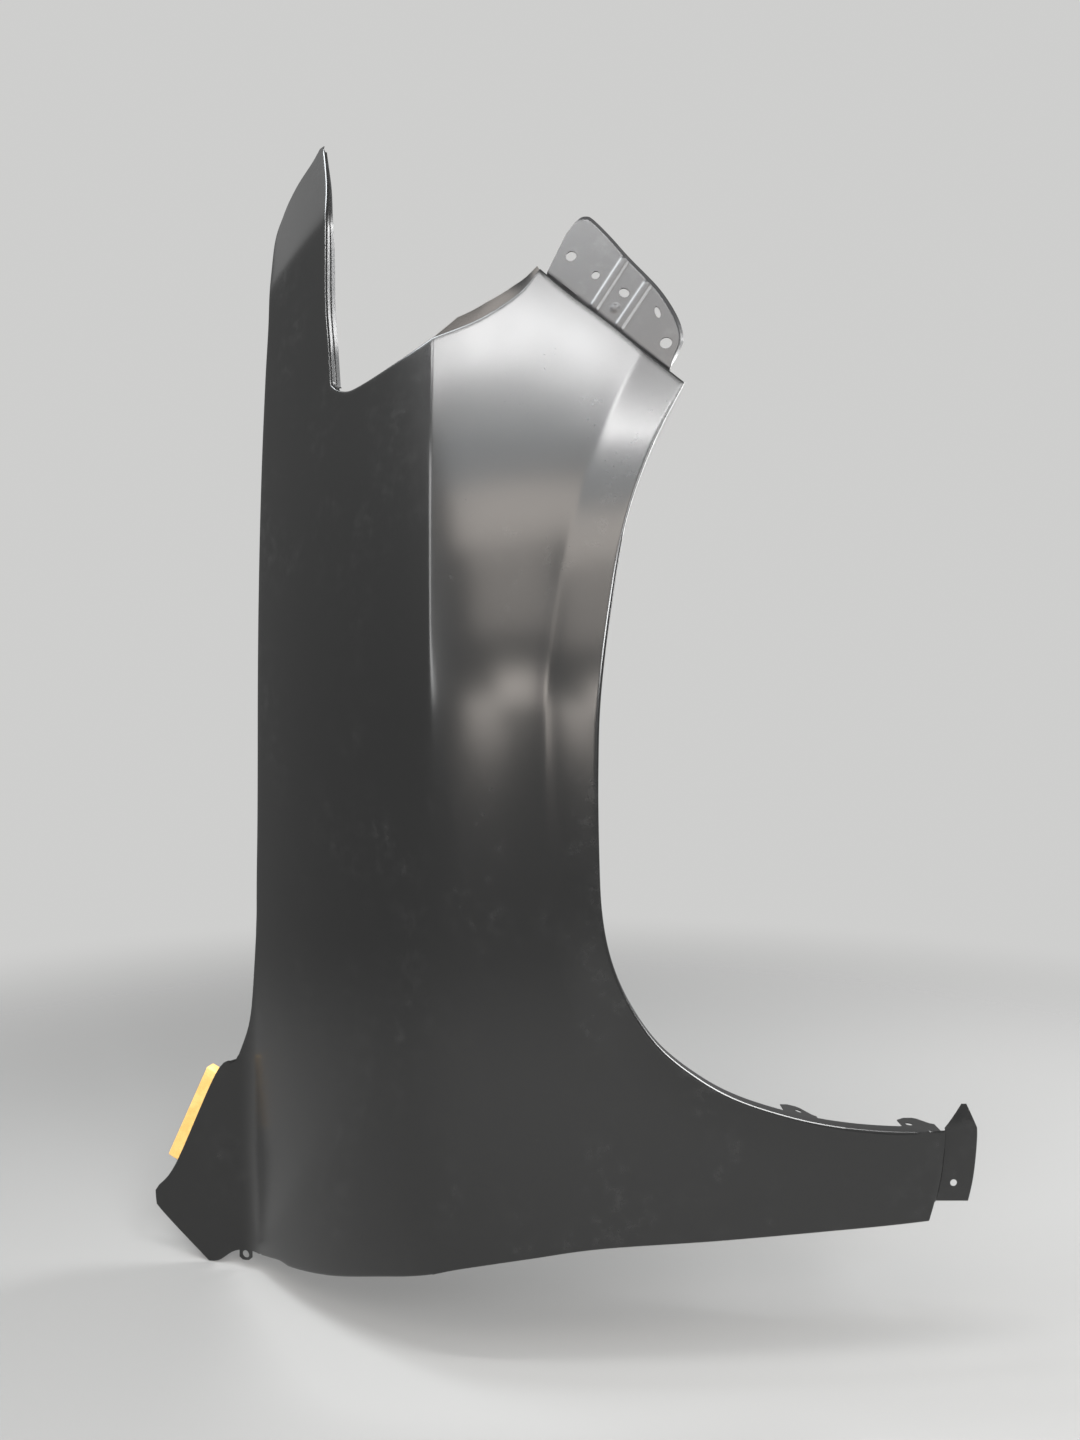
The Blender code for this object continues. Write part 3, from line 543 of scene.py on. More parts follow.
def roll(bm, edges, way, radius):
    """Round the sheet over along open edges. way and radius are asked for each corner's place."""
    chosen = set(edges)
    rim = list(dict.fromkeys(v for e in edges for v in e.verts))
    corner, lean = {}, {}
    for v in rim:
        near = [e.other_vert(v) for e in v.link_edges if e not in chosen]
        near = near or [e.other_vert(v) for e in v.link_edges]
        corner[v] = v.co.copy()
        lean[v] = sum(((v.co - w.co).normalized() for w in near), Vector()).normalized()
    for v in rim:
        make_room(v, chosen, radius(*cell[v]))
    for v in rim:
        root[v] = v
        v.co = corner[v] - lean[v] * radius(*cell[v])
    start = {v: v.co.copy() for v in rim}
    for step in range(1, ROLL_STEPS + 1):
        t = step / ROLL_STEPS

        def along_bend(v, t=t):
            end = corner[v] + way(*cell[v]) * radius(*cell[v])
            return start[v] * (1 - t) ** 2 + corner[v] * 2 * t * (1 - t) + end * t ** 2

        edges = extend(bm, edges, along_bend)
    return edges, corner


print("bends are made in", ROLL_STEPS, "steps")

# %% [markdown]
# From the headlamp notch round to the sill, the edge is turned inboard: by a few millimetres at
# spike, lamp and bumper, and as a deep flange along the wheel arch. The depths change smoothly
# from one stretch to the next, because it is one fold in the press.

# %% Notch, lamp, bumper and arch edges
BEND, ARCH_BEND, ARCH_BEND_ROWS = 0.0028, 0.0040, 2
ARCH_FLANGE, BUMPER_HEM, LAMP_STEP, SPIKE_STEP = 0.018, 0.004, 0.008, 0.006
SPIKE_STEP_ROWS, HEM_LEAD_COLS = 2, 0.5
INBOARD = Vector((0, 1, 0))


def turned_depth(i, j):
    """How far the edge around notch, lamp, bumper and arch is turned inboard."""
    if j == ARCH_COL and i > 0:
        return BUMPER_HEM + (ARCH_FLANGE - BUMPER_HEM) * ease(i)
    if i < 0:
        return SPIKE_STEP + (LAMP_STEP - SPIKE_STEP) * ease(1 + i / SPIKE_STEP_ROWS)
    hem = ease(j - UPPER_COLS - CORNER_COL + HEM_LEAD_COLS)
    return LAMP_STEP + (BUMPER_HEM - LAMP_STEP) * hem


def edge_bend(i, j):
    """The arch is rolled softly, the other edges tightly."""
    return BEND + (ARCH_BEND - BEND) * (ease(i / ARCH_BEND_ROWS) if j == ARCH_COL else 0)


def is_front(i, j):
    """The front edge: the spike's lower side, then the first row from notch to bumper."""
    return i == 0 and j >= SPIKE_COLS or j == SPIKE_COLS and -SPIKE_ROWS < i <= 0


rim = open_edges(sheet, lambda i, j: is_front(i, j) or j == ARCH_COL)
rim, edge_corner = roll(sheet, rim, lambda i, j: INBOARD, edge_bend)
rim = extend(sheet, rim, lambda v: edge_corner[v] + INBOARD * turned_depth(*cell[v]))
print("front and arch edges turned:", len(sheet.faces), "faces")

# %% [markdown]
# Behind the lamp the turned edge runs out again, as a seat for the lamp's seal. Along the spike it
# does the same as a narrow double lip, whose outer half is set back by two millimetres. The lip
# fades out a little way into the notch.

# %% Spike lip and lamp seat
SMALL_BEND = 0.0016
SPIKE_FLANGE, LIP_TAPER_ROWS, LIP_TIP_SHARE = 0.009, 8, 0.2
LIP_NOTCH_COLS, LIP_END_SHARE, LIP_SETBACK = 1.5, 1.05, 0.0022
LIP_PROFILE = ((0.42, 0), (0.58, LIP_SETBACK), (1, LIP_SETBACK))
LAMP_FLANGE = 0.014
LAMP_FLANGE_SHARES = [0.12, 0.95, 1, 0.85, 0.4]


def picked(edges, wanted):
    """Those of the edges whose two corners lie in the wanted part of the grid."""
    return [e for e in edges if all(wanted(*cell[v]) for v in e.verts)]


def lip_way(i, j):
    """The spike's lip points down; in the notch it swings round to the front."""
    swing = ease((j - SPIKE_COLS) / LIP_NOTCH_COLS) * math.pi / 2
    return Vector((math.sin(swing), 0, -math.cos(swing)))


def lip_size(i, j):
    """The lip is small at the spike's tip and fades out in the notch."""
    tip = LIP_TIP_SHARE + (1 - LIP_TIP_SHARE) * ease((SPIKE_ROWS + i) / LIP_TAPER_ROWS)
    return tip * ease(LIP_END_SHARE - (j - SPIKE_COLS) / LIP_NOTCH_COLS)


spike_rim = picked(
    rim, lambda i, j: j == SPIKE_COLS or i == 0 and j <= SPIKE_COLS + LIP_NOTCH_COLS)
spike_rim, spike_corner = roll(
    sheet, spike_rim, lip_way, lambda i, j: SMALL_BEND * lip_size(i, j))
for share, sink in LIP_PROFILE:
    def spike_lip(v, share=share, sink=sink):
        size = lip_size(*cell[v])
        return spike_corner[v] + (lip_way(*cell[v]) * SPIKE_FLANGE * share + INBOARD * sink) * size
    spike_rim = extend(sheet, spike_rim, spike_lip)
lamp_run = (LAMP.at(1) - LAMP.at(0)).normalized()
LAMP_OUT = Vector((-lamp_run.y, 0, lamp_run.x))
lamp_rim = picked(rim, lambda i, j: i == 0 and 0 <= j - UPPER_COLS <= CORNER_COL)
lamp_rim, lamp_corner = roll(sheet, lamp_rim, lambda i, j: LAMP_OUT, lambda i, j: SMALL_BEND)
extend(sheet, lamp_rim, lambda v: lamp_corner[v] + LAMP_OUT * LAMP_FLANGE * table(
    LAMP_FLANGE_SHARES, cell[v][1] - UPPER_COLS))
print("lip and lamp seat added:", len(sheet.faces), "faces")

# %% [markdown]
# The flange of the wheel arch has two tabs on the leg, where the liner is clipped on. Each begins
# almost square at its upper end and tapers off towards its lower end.

# %% Arch tabs
ARCH_TAB, ARCH_TAB_START_SHARE, ARCH_TAB_END_SHARE = 0.023, 0.75, 0.2
ARCH_TAB_ROWS = [(41, 42, 43), (48, 49, 50)]


def arch_tab(i, rows):
    """How far a tab stands out of the flange at row i."""
    first, full, last = rows
    if i <= full:
        rise = ease(2 * (i - first))
        return ARCH_TAB * (ARCH_TAB_START_SHARE + (1 - ARCH_TAB_START_SHARE) * rise)
    return ARCH_TAB * (1 - (1 - ARCH_TAB_END_SHARE) * ease((i - full) / (last - full)))


for tab_rows in ARCH_TAB_ROWS:
    tab = picked(rim, lambda i, j: j == ARCH_COL and tab_rows[0] <= i <= tab_rows[-1])
    foot = {root[v]: v.co.copy() for e in tab for v in e.verts}
    for share in (0.5, 1):
        tab = extend(
            sheet, tab, lambda v: foot[v] + INBOARD * share * arch_tab(cell[v][0], tab_rows))
print("arch tabs added:", len(sheet.faces), "faces")

# %% [markdown]
# The bonnet edge drops as a short wall and then runs inboard as a flange with three wider bolt
# pads. Wall and flange are two rolled bends, one after the other. The door edge is simply turned
# in, with one bend.

# %% Bonnet flange and door edge
TIP_CLEAR_ROWS = 3
BONNET_FLANGE, BONNET_PAD = 0.020, 0.014
BONNET_WALL_MIN, BONNET_WALL_LEAN = 0.010, 0.004
BONNET_PAD_ROWS = [(-2, -1), (10, 11, 12), (18, 19, 20)]
DOOR_FLANGE = 0.014
DOWN = Vector((0, 0, -1))


def bonnet_bend(i, j):
    """The bend's radius shrinks to nothing where the flange ends."""
    ends = min(i - TIP_CLEAR_ROWS + SPIKE_ROWS, WING_FIRST_ROW - i)
    return BEND * ease(ends)


def bonnet_floor(v):
    """The wall's foot: level with the bolts, or lower where the wall would be too short."""
    drop = min(SHEET, bonnet_corner[v].z - BONNET_WALL_MIN) - bonnet_corner[v].z
    return bonnet_corner[v] + Vector((0, BONNET_WALL_LEAN, drop))


def bonnet_width(i):
    """The flange's width, which grows at the bolt pads."""
    reach = 0
    for pad in BONNET_PAD_ROWS:
        reach = max(reach, ease(1 - max(pad[0] - i, i - pad[-1], 0)))
    return BONNET_FLANGE + BONNET_PAD * reach


bonnet = open_edges(
    sheet, lambda i, j: j == 0 and TIP_CLEAR_ROWS - SPIKE_ROWS <= i <= WING_FIRST_ROW)
bonnet, bonnet_corner = roll(sheet, bonnet, lambda i, j: DOWN, bonnet_bend)
bonnet = extend(sheet, bonnet, bonnet_floor)
bonnet, floor_corner = roll(
    sheet, bonnet, lambda i, j: INBOARD, lambda i, j: bonnet_bend(i, j) / 2)
for share in (0.5, 1):
    bonnet = extend(sheet, bonnet, lambda v: floor_corner[v] + INBOARD * (
        SMALL_BEND + (bonnet_width(cell[v][0]) - SMALL_BEND) * share))

door = open_edges(
    sheet,
    lambda i, j: i == SIDE_ROWS and 0 <= j <= UPPER_COLS or i >= SIDE_ROWS and j == UPPER_COLS)
door, door_corner = roll(sheet, door, lambda i, j: INBOARD, lambda i, j: BEND)
extend(sheet, door, lambda v: door_corner[v] + INBOARD * DOOR_FLANGE)
print("bonnet and door edges turned:", len(sheet.faces), "faces")

# %% [markdown]
# The rear ear is a small tongue with a bolt hole behind the wing. It is pulled out of the wing's
# rear edge in three steps, and its corners are rounded by reaching less far at its sides.

# %% Rear ear
REAR_EAR, EAR_ROUND_SHARE = 0.0125, 0.35
EAR_COLS, EAR_PARTS = (-2, -1), (0.34, 0.67, 1)

ear = open_edges(sheet, lambda i, j: i == SIDE_ROWS and EAR_COLS[0] <= j <= EAR_COLS[1])
ear_foot = {v: v.co.copy() for e in ear for v in e.verts}
for share in EAR_PARTS:
    def ear_reach(v, share=share):
        across = 2 * abs(cell[v][1] - sum(EAR_COLS) / 2)
        reach = REAR_EAR * share * (1 - EAR_ROUND_SHARE * across ** 3)
        return ear_foot[v] - Vector((reach, 0, 0))
    ear = extend(sheet, ear, ear_reach)
print("rear ear:", len(ear), "edges at its end")

# %% [markdown]
# At the sill the sheet is joggled: it steps in by a few millimetres to one even plane, and goes on
# as a flange that is screwed down. From the side of that flange a small ear is pulled forwards,
# narrower towards its tip.

# %% Joggled sill end
SILL_CLEAR_COLS, SILL_PARTS = 3, (0.25, 0.5, 0.75, 1)
SILL_JOGGLE, SILL_FLANGE = 0.003, 0.032
SILL_EAR, SILL_EAR_RISE, SILL_EAR_PARTS = 0.003, 0.023, (0.15, 0.4, 0.7, 1)
SILL_EAR_TAPER_SHARE, SILL_EAR_TIP_SHARE = 0.85, 0.36

sill = open_edges(sheet, lambda i, j: i == LAST_ROW and j >= UPPER_COLS + SILL_CLEAR_COLS)
sill = [e for e in sill if cell[e.verts[0]] != cell[e.verts[1]]]
sill_foot = {root.get(v, v): v.co.copy() for e in sill for v in e.verts}
sill_y = max(place.y for place in sill_foot.values()) + SILL_JOGGLE
for share in SILL_PARTS:
    def joggle(v, share=share):
        step_in = (sill_y - sill_foot[v].y) * ease(share)
        return sill_foot[v] + Vector((0, step_in, -SILL_JOGGLE * share))
    sill = extend(sheet, sill, joggle)
sill_top = {root[v]: v.co.copy() for e in sill for v in e.verts}
side = []
for share in SILL_PARTS:
    sill = extend(sheet, sill, lambda v: sill_top[v] + DOWN * SILL_FLANGE * share)
    tip = next(v for e in sill for v in e.verts if cell[v] == (LAST_ROW, ARCH_COL))
    side += [e for e in tip.link_edges if e not in sill and e.is_boundary]
ear_heights = [v.co.z for e in side for v in e.verts]
tip_z = min(ear_heights) + (max(ear_heights) - min(ear_heights)) * SILL_EAR_TIP_SHARE
strip = side
strip_foot = {v: v.co.copy() for e in side for v in e.verts}
for v in strip_foot:
    root[v] = v
for share in SILL_EAR_PARTS:
    def sill_ear(v, share=share):
        foot = strip_foot[v]
        inward = SILL_EAR * share ** 2
        return foot + Vector((
            SILL_EAR_RISE * share, inward, (tip_z - foot.z) * SILL_EAR_TAPER_SHARE * share))
    strip = extend(sheet, strip, sill_ear)
print("all edges turned:", len(sheet.faces), "faces")

# %% [markdown]
# A bare surface becomes steel by giving it thickness on its inner side. Holes are cut last, right
# through, with one cutter that holds a short cylinder for each hole. Sheet and bracket share these
# tools; what the modifiers make is then kept as the piece's own mesh.

# %% Tools: pieces, thickness and holes
HOLE_SIDES, HOLE_REACH = 32, 0.010


def new_piece(bm, name, slot_name):
    """A finished mesh as an object at the origin. With a slot, it rides with the part."""
    mesh = bpy.data.meshes.new(name)
    bm.to_mesh(mesh)
    bm.free()
    piece = bpy.data.objects.new(name, mesh)
    bpy.context.scene.collection.objects.link(piece)
    mesh.shade_smooth()
    if slot_name:
        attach(piece, "root")
    return piece


def settle(piece):
    """Keep what the modifiers made as the piece's own mesh."""
    bpy.context.view_layer.update()
    finished = piece.evaluated_get(bpy.context.evaluated_depsgraph_get())
    ready = bpy.data.meshes.new_from_object(finished)
    piece.modifiers.clear()
    old = piece.data
    piece.data = ready
    ready.name = piece.name
    bpy.data.meshes.remove(old)


def thicken(piece, thickness):
    """Give a sheet its thickness, behind the drawn face."""
    solid = piece.modifiers.new("sheet thickness", "SOLIDIFY")
    solid.thickness = thickness
    solid.offset = -1


def punch(piece, places):
    """Cut a hole at each place. A place is a matrix, which also stretches the unit cylinder."""
    bm = bmesh.new()
    for place in places:
        bmesh.ops.create_cone(bm, cap_ends=True, segments=HOLE_SIDES, radius1=0.5, radius2=0.5,
                              depth=2 * HOLE_REACH, matrix=place)
    cutter = new_piece(bm, piece.name + "_cutter", None)
    cut = piece.modifiers.new("holes", "BOOLEAN")
    cut.object = cutter
    cut.operation = "DIFFERENCE"
    cut.solver = "EXACT"
    settle(piece)
    bpy.data.objects.remove(cutter, do_unlink=True)


print("holes get", HOLE_SIDES, "sides")

# %% [markdown]
# The sheet is 0.8 mm steel. Its three bolt holes sit in the pads of the bonnet flange; the others
# are in the arch tabs, the sill end and the rear ear. Rounded bends may bulge past the solids by a
# hair, so every corner is kept inside their box at the end.

# %% Fender sheet: thickness and holes
BOLT_HOLE, LINER_HOLE = 0.009, 0.007
BONNET_HOLE_OFF_SHARE = 0.6
ARCH_HOLES = [(42, 0.43), (48.5, 0.25)]
SILL_HOLE_SHARE = 0.25
REAR_EAR_HOLE_OUT = 0.005
MERGE = 0.00005
SHARP_ANGLE = 0.6


def round_hole(centre, axis, width):
    """The place of a hole of this width, along this axis."""
    turned = axis.to_track_quat("Z", "Y").to_matrix().to_4x4()
    return Matrix.Translation(centre) @ turned @ Matrix.Diagonal((width, width, 1, 1))


def panel_holes():
    """The places of all holes in the fender sheet."""
    holes = []
    for pad in BONNET_PAD_ROWS:
        edge = skin(pad[len(pad) // 2] + BONNET_HOLE_OFF_SHARE, 0)
        reach = BONNET_WALL_LEAN + BONNET_FLANGE
        centre = Vector((edge.x, edge.y + reach, min(SHEET, edge.z - BONNET_WALL_MIN)))
        holes.append(round_hole(centre, Vector((0, 0, 1)), BOLT_HOLE))
    for row, share in ARCH_HOLES:
        along = skin(row + 1, ARCH_COL) - skin(row - 1, ARCH_COL)
        centre = skin(row, ARCH_COL) + INBOARD * (ARCH_FLANGE + ARCH_TAB * share)
        holes.append(round_hole(centre, along.cross(INBOARD), LINER_HOLE))
    ends = [skin(LAST_ROW, UPPER_COLS + SILL_CLEAR_COLS), skin(LAST_ROW, ARCH_COL)]
    end = ends[0].lerp(ends[1], SILL_HOLE_SHARE)
    centre = Vector((end.x, sill_y, end.z - SILL_JOGGLE - SILL_FLANGE / 2))
    holes.append(round_hole(centre, INBOARD, LINER_HOLE))
    ear_middle = sum((skin(SIDE_ROWS, col) for col in reversed(EAR_COLS)), Vector()) / 2
    out = Vector((REAR_EAR_HOLE_OUT, 0, 0))
    holes.append(round_hole(ear_middle - out, INBOARD, BOLT_HOLE))
    return holes


bmesh.ops.remove_doubles(sheet, verts=sheet.verts[:], dist=MERGE)
bmesh.ops.dissolve_degenerate(sheet, edges=sheet.edges[:], dist=MERGE)
bmesh.ops.recalc_face_normals(sheet, faces=sheet.faces[:])
if sum(face.normal.y * face.calc_area() for face in sheet.faces) > 0:
    bmesh.ops.reverse_faces(sheet, faces=sheet.faces[:])
panel = new_piece(sheet, "fender_sheet", "primer")
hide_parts("fender_panel")
thicken(panel, SHEET)
punch(panel, panel_holes())
for v in panel.data.vertices:
    v.co = [min(max(c, a), b) for c, a, b in zip(v.co, *cad_box)]
panel.data.set_sharp_from_angle(angle=SHARP_ANGLE)
print("fender sheet:", len(panel.data.polygons), "faces with thickness and holes")

# %% [markdown]
# The bumper bracket is a small pressing of thicker steel, welded behind the bumper edge. It is
# drawn in a plane of its own, so first that plane is found: along the bumper edge, level with the
# sheet behind it, and just far enough under it to touch nothing.

# %% Bumper bracket: where it sits
BRACKET_STEP, BRACKET_START_SHARE, WELD_GAP = 0.003, 0.03, 0.0003


def bumper_frame():
    """The bracket's plane: along the bumper edge, forward, outboard; just under the sheet."""
    first, last = skin(0, UPPER_COLS + CORNER_COL), skin(0, ARCH_COL)
    start = first.lerp(last, BRACKET_START_SHARE)
    along = (last - first).normalized()
    inner = skin(1, (UPPER_COLS + CORNER_COL + ARCH_COL) / 2)
    out = along.cross(inner - start).normalized()
    out = -out if out.y > 0 else out
    low = 0
    for k in range(CORNER_COL, LOWER_COLS + 1):
        for row in (0, 1):
            under = skin(row, UPPER_COLS + k) + Vector((0, SHEET + BUMPER_HEM * (row == 0), 0))
            low = min(low, (under - start).dot(out))
    origin = start + out * (low - WELD_GAP + BRACKET_STEP)
    facing = Matrix((along, out.cross(along), out)).transposed()
    return Matrix.Translation(origin) @ facing.to_4x4()


set_on = bumper_frame()
print("bracket's outboard axis:", [round(c, 2) for c in set_on.col[2][:3]])

# %% [markdown]
# The bracket has two long beads across its step, a dimple and a turned rim. In a flat grid all of
# them are heights, so one height for each corner presses the plate. Columns and rows are dense,
# because the beads are only a few millimetres wide.

# %% Bumper bracket: pressed plate
BRACKET_LENGTH, BRACKET_HEIGHT, BRACKET_LAP = 0.180, 0.081, 0.018
LAP_END_SHARE, LAP_TAPER_SHARE = 0.2, 0.25
STEP_FROM, STEP_RUN = 0.0005, 0.0045
BEAD_HEIGHT, BEAD_HALF, BEAD_STEEP = 0.0015, 0.0066, 1.6
DIMPLE_PLACE, DIMPLE_HALF = (0.0862, 0.0181), 0.0062
DIMPLE_SHARE, DIMPLE_STEEP = 0.7, 1.4
RIM_WIDTH, RIM_SLOPE, RIM_SOFT, RIM_CROWD = 0.0065, 1.2, 0.4, 1.6
RIM_FROM_SHARE, RIM_GROWTH = 0.06, 8
BRACKET_TOP_SHARES = [
    (-0.085, 0.606), (-0.094, 0.836), (-0.078, 0.955), (-0.030, 1.0), (0.120, 0.965),
    (0.305, 0.895), (0.559, 0.820), (0.713, 0.730), (0.830, 0.620), (0.909, 0.495),
    (0.939, 0.385), (0.973, 0.139)]
BEAD_LINES = [((0.0571, 0.0634), (0.0680, 0.0040)), ((0.0955, 0.0580), (0.1042, 0.0040))]
BRACKET_COLS, BRACKET_ROWS, LAP_ROWS = 200, 60, 6
top_line = Edge(BRACKET_TOP_SHARES, BRACKET_LENGTH, BRACKET_HEIGHT)


def bead_height(place):
    """How high the beads and the dimple stand above the plate here."""
    height = 0
    for start, end in BEAD_LINES:
        start, end = Vector(start), Vector(end)
        run = end - start
        share = min(max((place - start).dot(run) / run.length_squared, 0), 1)
        off = (place - start - run * share).length
        height = max(height, BEAD_HEIGHT * ease(BEAD_STEEP * (1 - off / BEAD_HALF)))
    off = (place - Vector(DIMPLE_PLACE)).length
    dimple = DIMPLE_SHARE * BEAD_HEIGHT * ease(DIMPLE_STEEP * (1 - off / DIMPLE_HALF))
    return max(height, dimple)


def rim_grows(u):
    """The turned rim starts gently, a little way along the top."""
    return ease(RIM_GROWTH * (u - RIM_FROM_SHARE))


plate = bmesh.new()
bmesh.ops.create_grid(
    plate, x_segments=BRACKET_COLS, y_segments=BRACKET_ROWS + LAP_ROWS, size=0.5)
for v in plate.verts:
    u = v.co.x + 0.5
    row = round((v.co.y + 0.5) * (BRACKET_ROWS + LAP_ROWS)) - LAP_ROWS
    share = 1 - (1 - max(row, 0) / BRACKET_ROWS) ** RIM_CROWD
    foot, top = Vector((u * BRACKET_LENGTH, 0, 0)), top_line.at(u)
    place = foot.lerp(top, share)
    if row < 0:
        ends = min(1, LAP_END_SHARE + min(u, 1 - u) / LAP_TAPER_SHARE)
        place.y += BRACKET_LAP * ends * row / LAP_ROWS
    step = BRACKET_STEP * (1 - ease((place.y - STEP_FROM) / STEP_RUN))
    into_rim = max(0, 1 - (1 - share) * (top - foot).length / RIM_WIDTH)
    bent = into_rim ** 2 / (2 * RIM_SOFT) if into_rim < RIM_SOFT else into_rim - RIM_SOFT / 2
    drop = RIM_WIDTH * RIM_SLOPE * bent * rim_grows(u)
    v.co = Vector((place.x, place.y, bead_height(place.xy) - step - drop))
    if row <= 0:
        v.co.z = -BRACKET_STEP
print("bracket plate:", len(plate.faces), "faces")

# %% [markdown]
# The plate is now set into its plane behind the bumper edge. It gets its thickness inwards and
# five punched holes, one of them a slanted slot: the same cylinder, stretched and turned.

# %% Bumper bracket: thickness and holes
BRACKET_SHEET = 0.0015
BRACKET_HOLES = [
    (0.0070, 0.0331, 0.0115, 0.0115, 0), (0.0436, 0.0332, 0.0090, 0.0090, 0),
    (0.0819, 0.0369, 0.0120, 0.0095, 0), (0.1252, 0.0423, 0.0055, 0.0135, 58),
    (0.1555, 0.0224, 0.0125, 0.0125, 0)]

bmesh.ops.remove_doubles(plate, verts=plate.verts[:], dist=MERGE)
bmesh.ops.recalc_face_normals(plate, faces=plate.faces[:])
if sum(face.normal.z for face in plate.faces) < 0:
    bmesh.ops.reverse_faces(plate, faces=plate.faces[:])
bmesh.ops.transform(plate, matrix=set_on, verts=plate.verts[:])
bracket = new_piece(plate, "bumper_bracket_plate", "bracket")
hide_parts("bumper_bracket")
thicken(bracket, BRACKET_SHEET)
hole_places = []
for u, v, wide, high, angle in BRACKET_HOLES:
    turned = Matrix.Rotation(math.radians(angle), 4, "Z")
    size = Matrix.Diagonal((wide, high, 1, 1))
    hole_places.append(set_on @ Matrix.Translation((u, v, 0)) @ turned @ size)
punch(bracket, hole_places)
bracket.data.set_sharp_from_angle(angle=SHARP_ANGLE)
print("bracket:", len(bracket.data.polygons), "faces")

# %% [markdown]
# The foam strip is cut from soft open-cell sheet and glued behind the wing's rear edge. It keeps
# the square form of its cut, lies along the curve of the skin, and has soft corners. So it is a
# grid laid on the skin's inner side, given the foam's thickness, and rounded by a small bevel.

# %% Foam pad
PAD_LENGTH, PAD_INSIDE, PAD_PROUD, PAD_THICK = 0.130, 0.018, 0.0145, 0.014
PAD_COLS, PAD_ROWS, PAD_ROUND, PAD_ROUND_STEPS = 40, 10, 0.0016, 3
GLUE_GAP, SHEET_BACK_SHARE = 0.0003, 1.5
PAD_START_SHARES, PAD_END_SHARES = (-0.3157, 0.0894), (-0.4062, 0.1555)

start = Vector((PAD_START_SHARES[0] * LENGTH, PAD_START_SHARES[1] * HEIGHT, 0))
end = Vector((PAD_END_SHARES[0] * LENGTH, PAD_END_SHARES[1] * HEIGHT, 0))
along = (end - start).normalized()
out = Vector((along.y, -along.x, 0))
foam = bmesh.new()
bmesh.ops.create_grid(foam, x_segments=PAD_COLS, y_segments=PAD_ROWS, size=0.5)
for v in foam.verts:
    reach = (v.co.y + 0.5) * (PAD_INSIDE + PAD_PROUD) - PAD_INSIDE
    flat = (start + end) / 2 + along * v.co.x * PAD_LENGTH + out * reach
    back = skin_y(flat.x, flat.y) + SHEET_BACK_SHARE * SHEET + GLUE_GAP
    v.co = Vector((flat.x, back, flat.y))
bmesh.ops.recalc_face_normals(foam, faces=foam.faces[:])
if sum(face.normal.y for face in foam.faces) > 0:
    bmesh.ops.reverse_faces(foam, faces=foam.faces[:])
pad = new_piece(foam, "foam_strip", "foam")
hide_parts("cowl_foam_pad")
thicken(pad, PAD_THICK)
rounding = pad.modifiers.new("soft edges", "BEVEL")
rounding.width = PAD_ROUND
rounding.segments = PAD_ROUND_STEPS
rounding.limit_method = "ANGLE"
settle(pad)
print("foam strip:", len(pad.data.polygons), "faces")

# %% [markdown]
# Finishes are built from nodes. A few helpers save most of the typing: one makes a group with its
# sockets, and the others add a noise, a sum or product, and a soft threshold to any node tree.

# %% Node helpers
def new_group(name, inputs, outputs):
    """An empty node group, with its input and output nodes."""
    group = bpy.data.node_groups.new(name, "ShaderNodeTree")
    for socket, kind, value in inputs:
        made = group.interface.new_socket(name=socket, in_out="INPUT", socket_type=kind)
        if value is not None:
            made.default_value = value
    for socket, kind in outputs:
        group.interface.new_socket(name=socket, in_out="OUTPUT", socket_type=kind)
    return group, group.nodes.new("NodeGroupInput"), group.nodes.new("NodeGroupOutput")


def noise(tree, coords, scale, detail, roughness=0.5, stretch=(1, 1, 1)):
    """Soft random values from 0 to 1, so many to the metre."""
    mapping = tree.nodes.new("ShaderNodeMapping")
    mapping.inputs["Scale"].default_value = stretch
    tree.links.new(coords, mapping.inputs["Vector"])
    texture = tree.nodes.new("ShaderNodeTexNoise")
    texture.inputs["Scale"].default_value = scale
    texture.inputs["Detail"].default_value = detail
    texture.inputs["Roughness"].default_value = roughness
    tree.links.new(mapping.outputs["Vector"], texture.inputs["Vector"])
    return texture


def math_node(tree, operation, first, second):
    """One calculation with two values, where each is a socket or a number."""
    node = tree.nodes.new("ShaderNodeMath")
    node.operation = operation
    for socket, value in zip(node.inputs, (first, second)):
        if isinstance(value, bpy.types.NodeSocket):
            tree.links.new(value, socket)
        else:
            socket.default_value = value
    return node.outputs[0]


def ramp(tree, value, low, high):
    """A soft threshold: 0 below low, 1 above high."""
    node = tree.nodes.new("ShaderNodeMapRange")
    node.interpolation_type = "SMOOTHSTEP"
    node.inputs["From Min"].default_value = low
    node.inputs["From Max"].default_value = high
    tree.links.new(value, node.inputs["Value"])
    return node.outputs["Result"]


print("node helpers:", [f.__name__ for f in (new_group, noise, math_node, ramp)])

# %% [markdown]
# Two effects are shared between the finishes, so each is a node group. `film_texture` is the
# fine orange-peel skin of dipped primer together with the slow waviness of a pressed sheet.
# `handling_marks` gives masks of smudges, wiped dust and specks. Both read Object coordinates,
# which are metres here, so their scales are counts per metre.

# %% Shared surface effects
PEEL_SCALE, WAVE_SCALE = 420, 9
SMUDGE_SCALE, SMUDGE_STRETCH, SMUDGE_RANGE = 7, (1, 1, 1.8), (0.42, 0.72)
DUST_SCALE, DUST_RANGE = 60, (0.45, 0.75)
SPECK_SCALE, SPECK_RANGE = 900, (0.74, 0.80)

